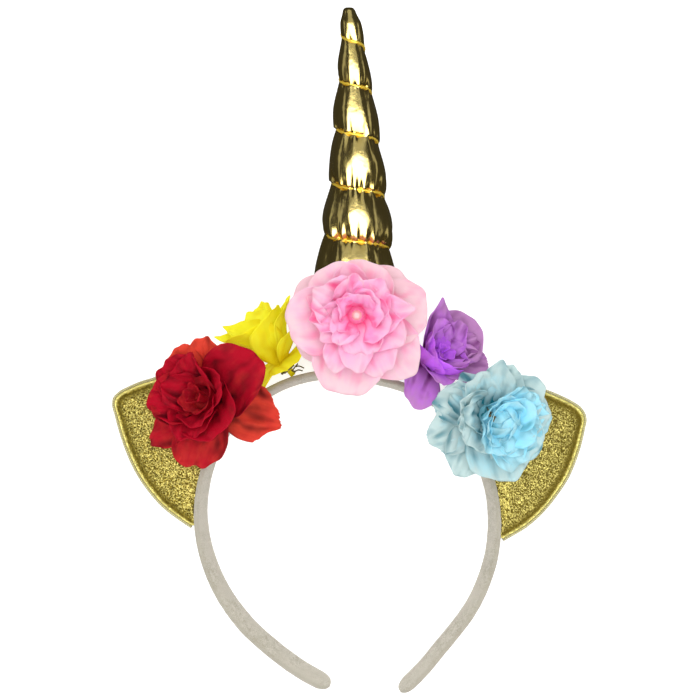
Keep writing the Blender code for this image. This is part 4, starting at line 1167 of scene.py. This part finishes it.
def make_flower(name, finish):
    """All the petals, the rolled core and the foot of one flower."""
    flower = FLOWERS[name]
    seed = 100 * (1 + list(FLOWERS).index(name))
    sheets = []
    for number, row in enumerate(flower["petals"]):
        sheets.append(petal_sheet(flower, dict(zip(PETAL_COLUMNS, row)), seed + number))
    if "bud" in flower:
        sheets.append(bud_sheet(flower, flower["bud"]))
    points, faces, places, start = [], [], [], 0
    marks = {"tone": [], "reach": [], "crease_shade": []}
    for sheet, sheet_marks, place in sheets:
        both, quads = thick_sheet(sheet, PETAL_THICKNESS)
        points.append(both)
        faces += (quads + start).tolist()
        start += len(both)
        for mark in marks:
            marks[mark].append(np.tile(sheet_marks[mark].ravel(), 2))
        places.append(np.tile(place.reshape(-1, 2), (2, 1)))
    foot = foot_sheet(flower)
    faces += tube_faces(len(foot), foot.shape[1], start)
    points.append(foot.reshape(-1, 3))
    count = foot.shape[0] * foot.shape[1]
    marks["tone"].append(np.full(count, 0.8))
    marks["reach"].append(np.full(count, 0.35))
    marks["crease_shade"].append(np.full(count, 0.2))
    places.append(foot.reshape(-1, 3)[:, :2])
    marks = {mark: np.concatenate(values) for mark, values in marks.items()}
    made = piece_from(f"{name}_petals", np.vstack(points), faces, finish, marks, np.vstack(places))
    stands_for(made, name)
    return made


def make_stamens(name, flower, strands, finish):
    """Bare wires with knobs at their ends, laid just over what is under them."""
    tree = BVHTree.FromPolygons([v.co for v in flower.data.vertices], [p.vertices for p in flower.data.polygons])
    points, faces, start = [], [], 0
    for strand in strands:
        line = rounded_path(strand, 0.25)
        for place in line:
            above = Vector(to_table(place)[0])
            above.z = 1.0
            found = tree.ray_cast(above, Vector((0, 0, -1)))[0]
            if found:
                place[2] = max(place[2], (found.z / MM - REST_SHIFT[2]) - math.sin(REST_SLOPE) * place[1] + 0.45)
        share = np.linspace(0, 1, len(line))
        knob = STAMEN_RADIUS * (1 + 1.2 * np.exp(-((share - 0.93) / 0.07) ** 2))
        tube = tube_points(line, STAMEN_RADIUS, 8, (0.0, 0.0, 1.0), lambda turn: np.tile(knob[:, None], (1, 8)))
        points.append(tube.reshape(-1, 3))
        faces += tube_faces(len(line), 8, start)
        start += len(line) * 8
    made = piece_from(name, np.vstack(points), faces, finish)
    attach(made, "root")


def wire_material():
    made, tree, shader = new_material("brown_wire")
    shade = noise_of(tree, object_place(tree), 700.0, 2.0)
    face = mix_of(tree, shade, colour(0.02, 0.014, 0.004), colour(0.13, 0.10, 0.02))
    tree.links.new(face, shader.inputs["Base Color"])
    shader.inputs["Roughness"].default_value = 0.6
    return made


def make_flowers(weave):
    """The five flowers, each in its own dyed cloth: pale and full colour, a deep colour for painted shade at the
    feet and creases, glow and roughness.
    """
    cloth, wire = petal_group(weave), wire_material()
    # The third colour of each dye is the painted shade for the feet and creases
    dyes = {
        "pink": ("pink_cloth", (0.88, 0.66, 0.71), (1.0, 0.44, 0.76), (1.0, 0.17, 0.44), 0.30, 0.8),
        "red": ("red_satin", (0.70, 0.055, 0.03), (0.41, 0.0, 0.014), (0.05, 0.0, 0.003), 0.12, 0.6),
        "yellow": ("yellow_cloth", (0.90, 0.88, 0.05), (0.92, 0.84, 0.005), (0.78, 0.62, 0.0), 0.25, 0.8),
        "purple": ("purple_cloth", (0.52, 0.25, 0.52), (0.66, 0.17, 0.95), (0.16, 0.015, 0.16), 0.25, 0.8),
        "blue": ("blue_cloth", (0.58, 0.72, 0.71), (0.36, 0.84, 1.0), (0.02, 0.24, 0.31), 0.28, 0.8),
    }
    for name, (slot, pale, body, deep, glow, gloss) in dyes.items():
        shades = colour(*pale), colour(*body), colour(*deep)
        finish = petal_material(f"{name}_petal", cloth, *shades, glow, gloss)
        made = make_flower(f"{name}_flower", finish)
        if name in STAMENS:
            make_stamens(f"{name}_flower_stamens", made, STAMENS[name], wire)


# Setting


def make_floor():
    mesh = bpy.data.meshes.new("floor")
    reach = 6.0
    mesh.from_pydata([(-reach, -reach, 0), (reach, -reach, 0), (reach, reach, 0), (-reach, reach, 0)], [],
                     [(0, 1, 2, 3)])
    finish, tree, shader = new_material("pale_floor")
    shader.inputs["Base Color"].default_value = colour(0.6, 0.6, 0.6)
    shader.inputs["Roughness"].default_value = 0.9
    shader.inputs["Emission Color"].default_value = colour(1, 1, 1)
    shader.inputs["Emission Strength"].default_value = 0.66
    mesh.materials.append(finish)
    floor = bpy.data.objects.new("floor", mesh)
    bpy.context.scene.collection.objects.link(floor)
    floor.visible_glossy = False
    return floor


def make_light(name, place, aim, size, power):
    data = bpy.data.lights.new(name, "AREA")
    data.shape = "RECTANGLE"
    data.size, data.size_y = size
    data.energy = power
    light = bpy.data.objects.new(name, data)
    light.location = place
    light.rotation_euler = (Vector(aim) - Vector(place)).to_track_quat("-Z", "Y").to_euler()
    bpy.context.scene.collection.objects.link(light)
    return light


def make_card(name, place, tilt, size, strength):
    """A bright card that only gloss shows, brightest in its middle and tilted about the y axis."""
    x, y = size[0] / 2, size[1] / 2
    mesh = bpy.data.meshes.new(name)
    mesh.from_pydata([(-x, -y, 0), (-x, y, 0), (x, y, 0), (x, -y, 0)], [], [(0, 1, 2, 3)])
    finish = bpy.data.materials.new(name)
    finish.use_nodes = True
    tree = finish.node_tree
    tree.nodes.clear()
    split = add(tree, "SeparateXYZ", None, Vector=object_place(tree))
    shares = []
    for axis, half in (("X", x), ("Y", y)):
        away = math_of(tree, "DIVIDE", math_of(tree, "ABSOLUTE", split.outputs[axis]), half)
        shares.append(math_of(tree, "SUBTRACT", 1.0, ramp_of(tree, away, 0.6, 1.0)))
    fade = math_of(tree, "MULTIPLY", shares[0], shares[1])
    glow = add(tree, "Emission", None, Strength=math_of(tree, "MULTIPLY", fade, strength))
    out = tree.nodes.new("ShaderNodeOutputMaterial")
    tree.links.new(glow.outputs[0], out.inputs["Surface"])
    mesh.materials.append(finish)
    card = bpy.data.objects.new(name, mesh)
    card.location = place
    card.rotation_euler = (0.0, math.radians(tilt), 0.0)
    bpy.context.scene.collection.objects.link(card)
    card.visible_camera = False
    card.visible_diffuse = False
    card.visible_transmission = False
    card.visible_shadow = False


def make_setting():
    """Pale floor, a broad soft light above and dim strips at the sides that show in the foil."""
    make_floor()
    overhead = make_light("overhead", (0.0, 0.1, 1.5), (0.0, 0.0, 0.0), (2.7, 2.4), 34.0)
    overhead.visible_glossy = False
    make_card("overhead_card", (0.0, -0.35, 1.5), 0.0, (2.3, 2.5), 4.9)
    make_card("far_card", (0.0, 1.5, 1.5), 0.0, (2.4, 1.8), 0.45)
    make_card("left_card", (-1.7, 0.1, 0.7), 58.0, (1.1, 2.4), 0.42)
    make_card("right_card", (1.9, 0.3, 0.45), -70.0, (0.8, 2.0), 0.5)
    world = bpy.data.worlds.new("studio")
    world.use_nodes = True
    bpy.context.scene.world = world
    tree = world.node_tree
    path = tree.nodes.new("ShaderNodeLightPath")
    seen = mix_of(tree, path.outputs["Is Glossy Ray"], colour(0.72, 0.72, 0.72), colour(0.045, 0.042, 0.035))
    seen = mix_of(tree, path.outputs["Is Camera Ray"], seen, colour(0.98, 0.98, 0.98))
    tree.links.new(seen, tree.nodes["Background"].inputs["Color"])
    bpy.context.scene.view_settings.view_transform = "Standard"


def make_camera():
    data = bpy.data.cameras.new("camera")
    data.sensor_width = CAMERA_SENSOR
    data.lens = CAMERA_LENS
    camera = bpy.data.objects.new("camera", data)
    camera.location = CAMERA_PLACE
    bpy.context.scene.collection.objects.link(camera)
    bpy.context.scene.camera = camera


def build():
    make_camera()
    fleck, weave, glitter = fleck_group(), weave_group(), glitter_group()
    make_band(velvet_material(fleck))
    make_horn(foil_material())
    make_thread(thread_material())
    glitter_finish, edging_finish = glitter_material(glitter), edging_material(fleck)
    for side, ear in (("left", LEFT_EAR), ("right", RIGHT_EAR)):
        make_ear(side, ear, glitter_finish)
        make_ear_edge(side, ear, edging_finish)
    make_flowers(weave)
    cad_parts["pink_flower_gem"].data.materials.clear()
    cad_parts["pink_flower_gem"].data.materials.append(stone_material())
    make_setting()


build()
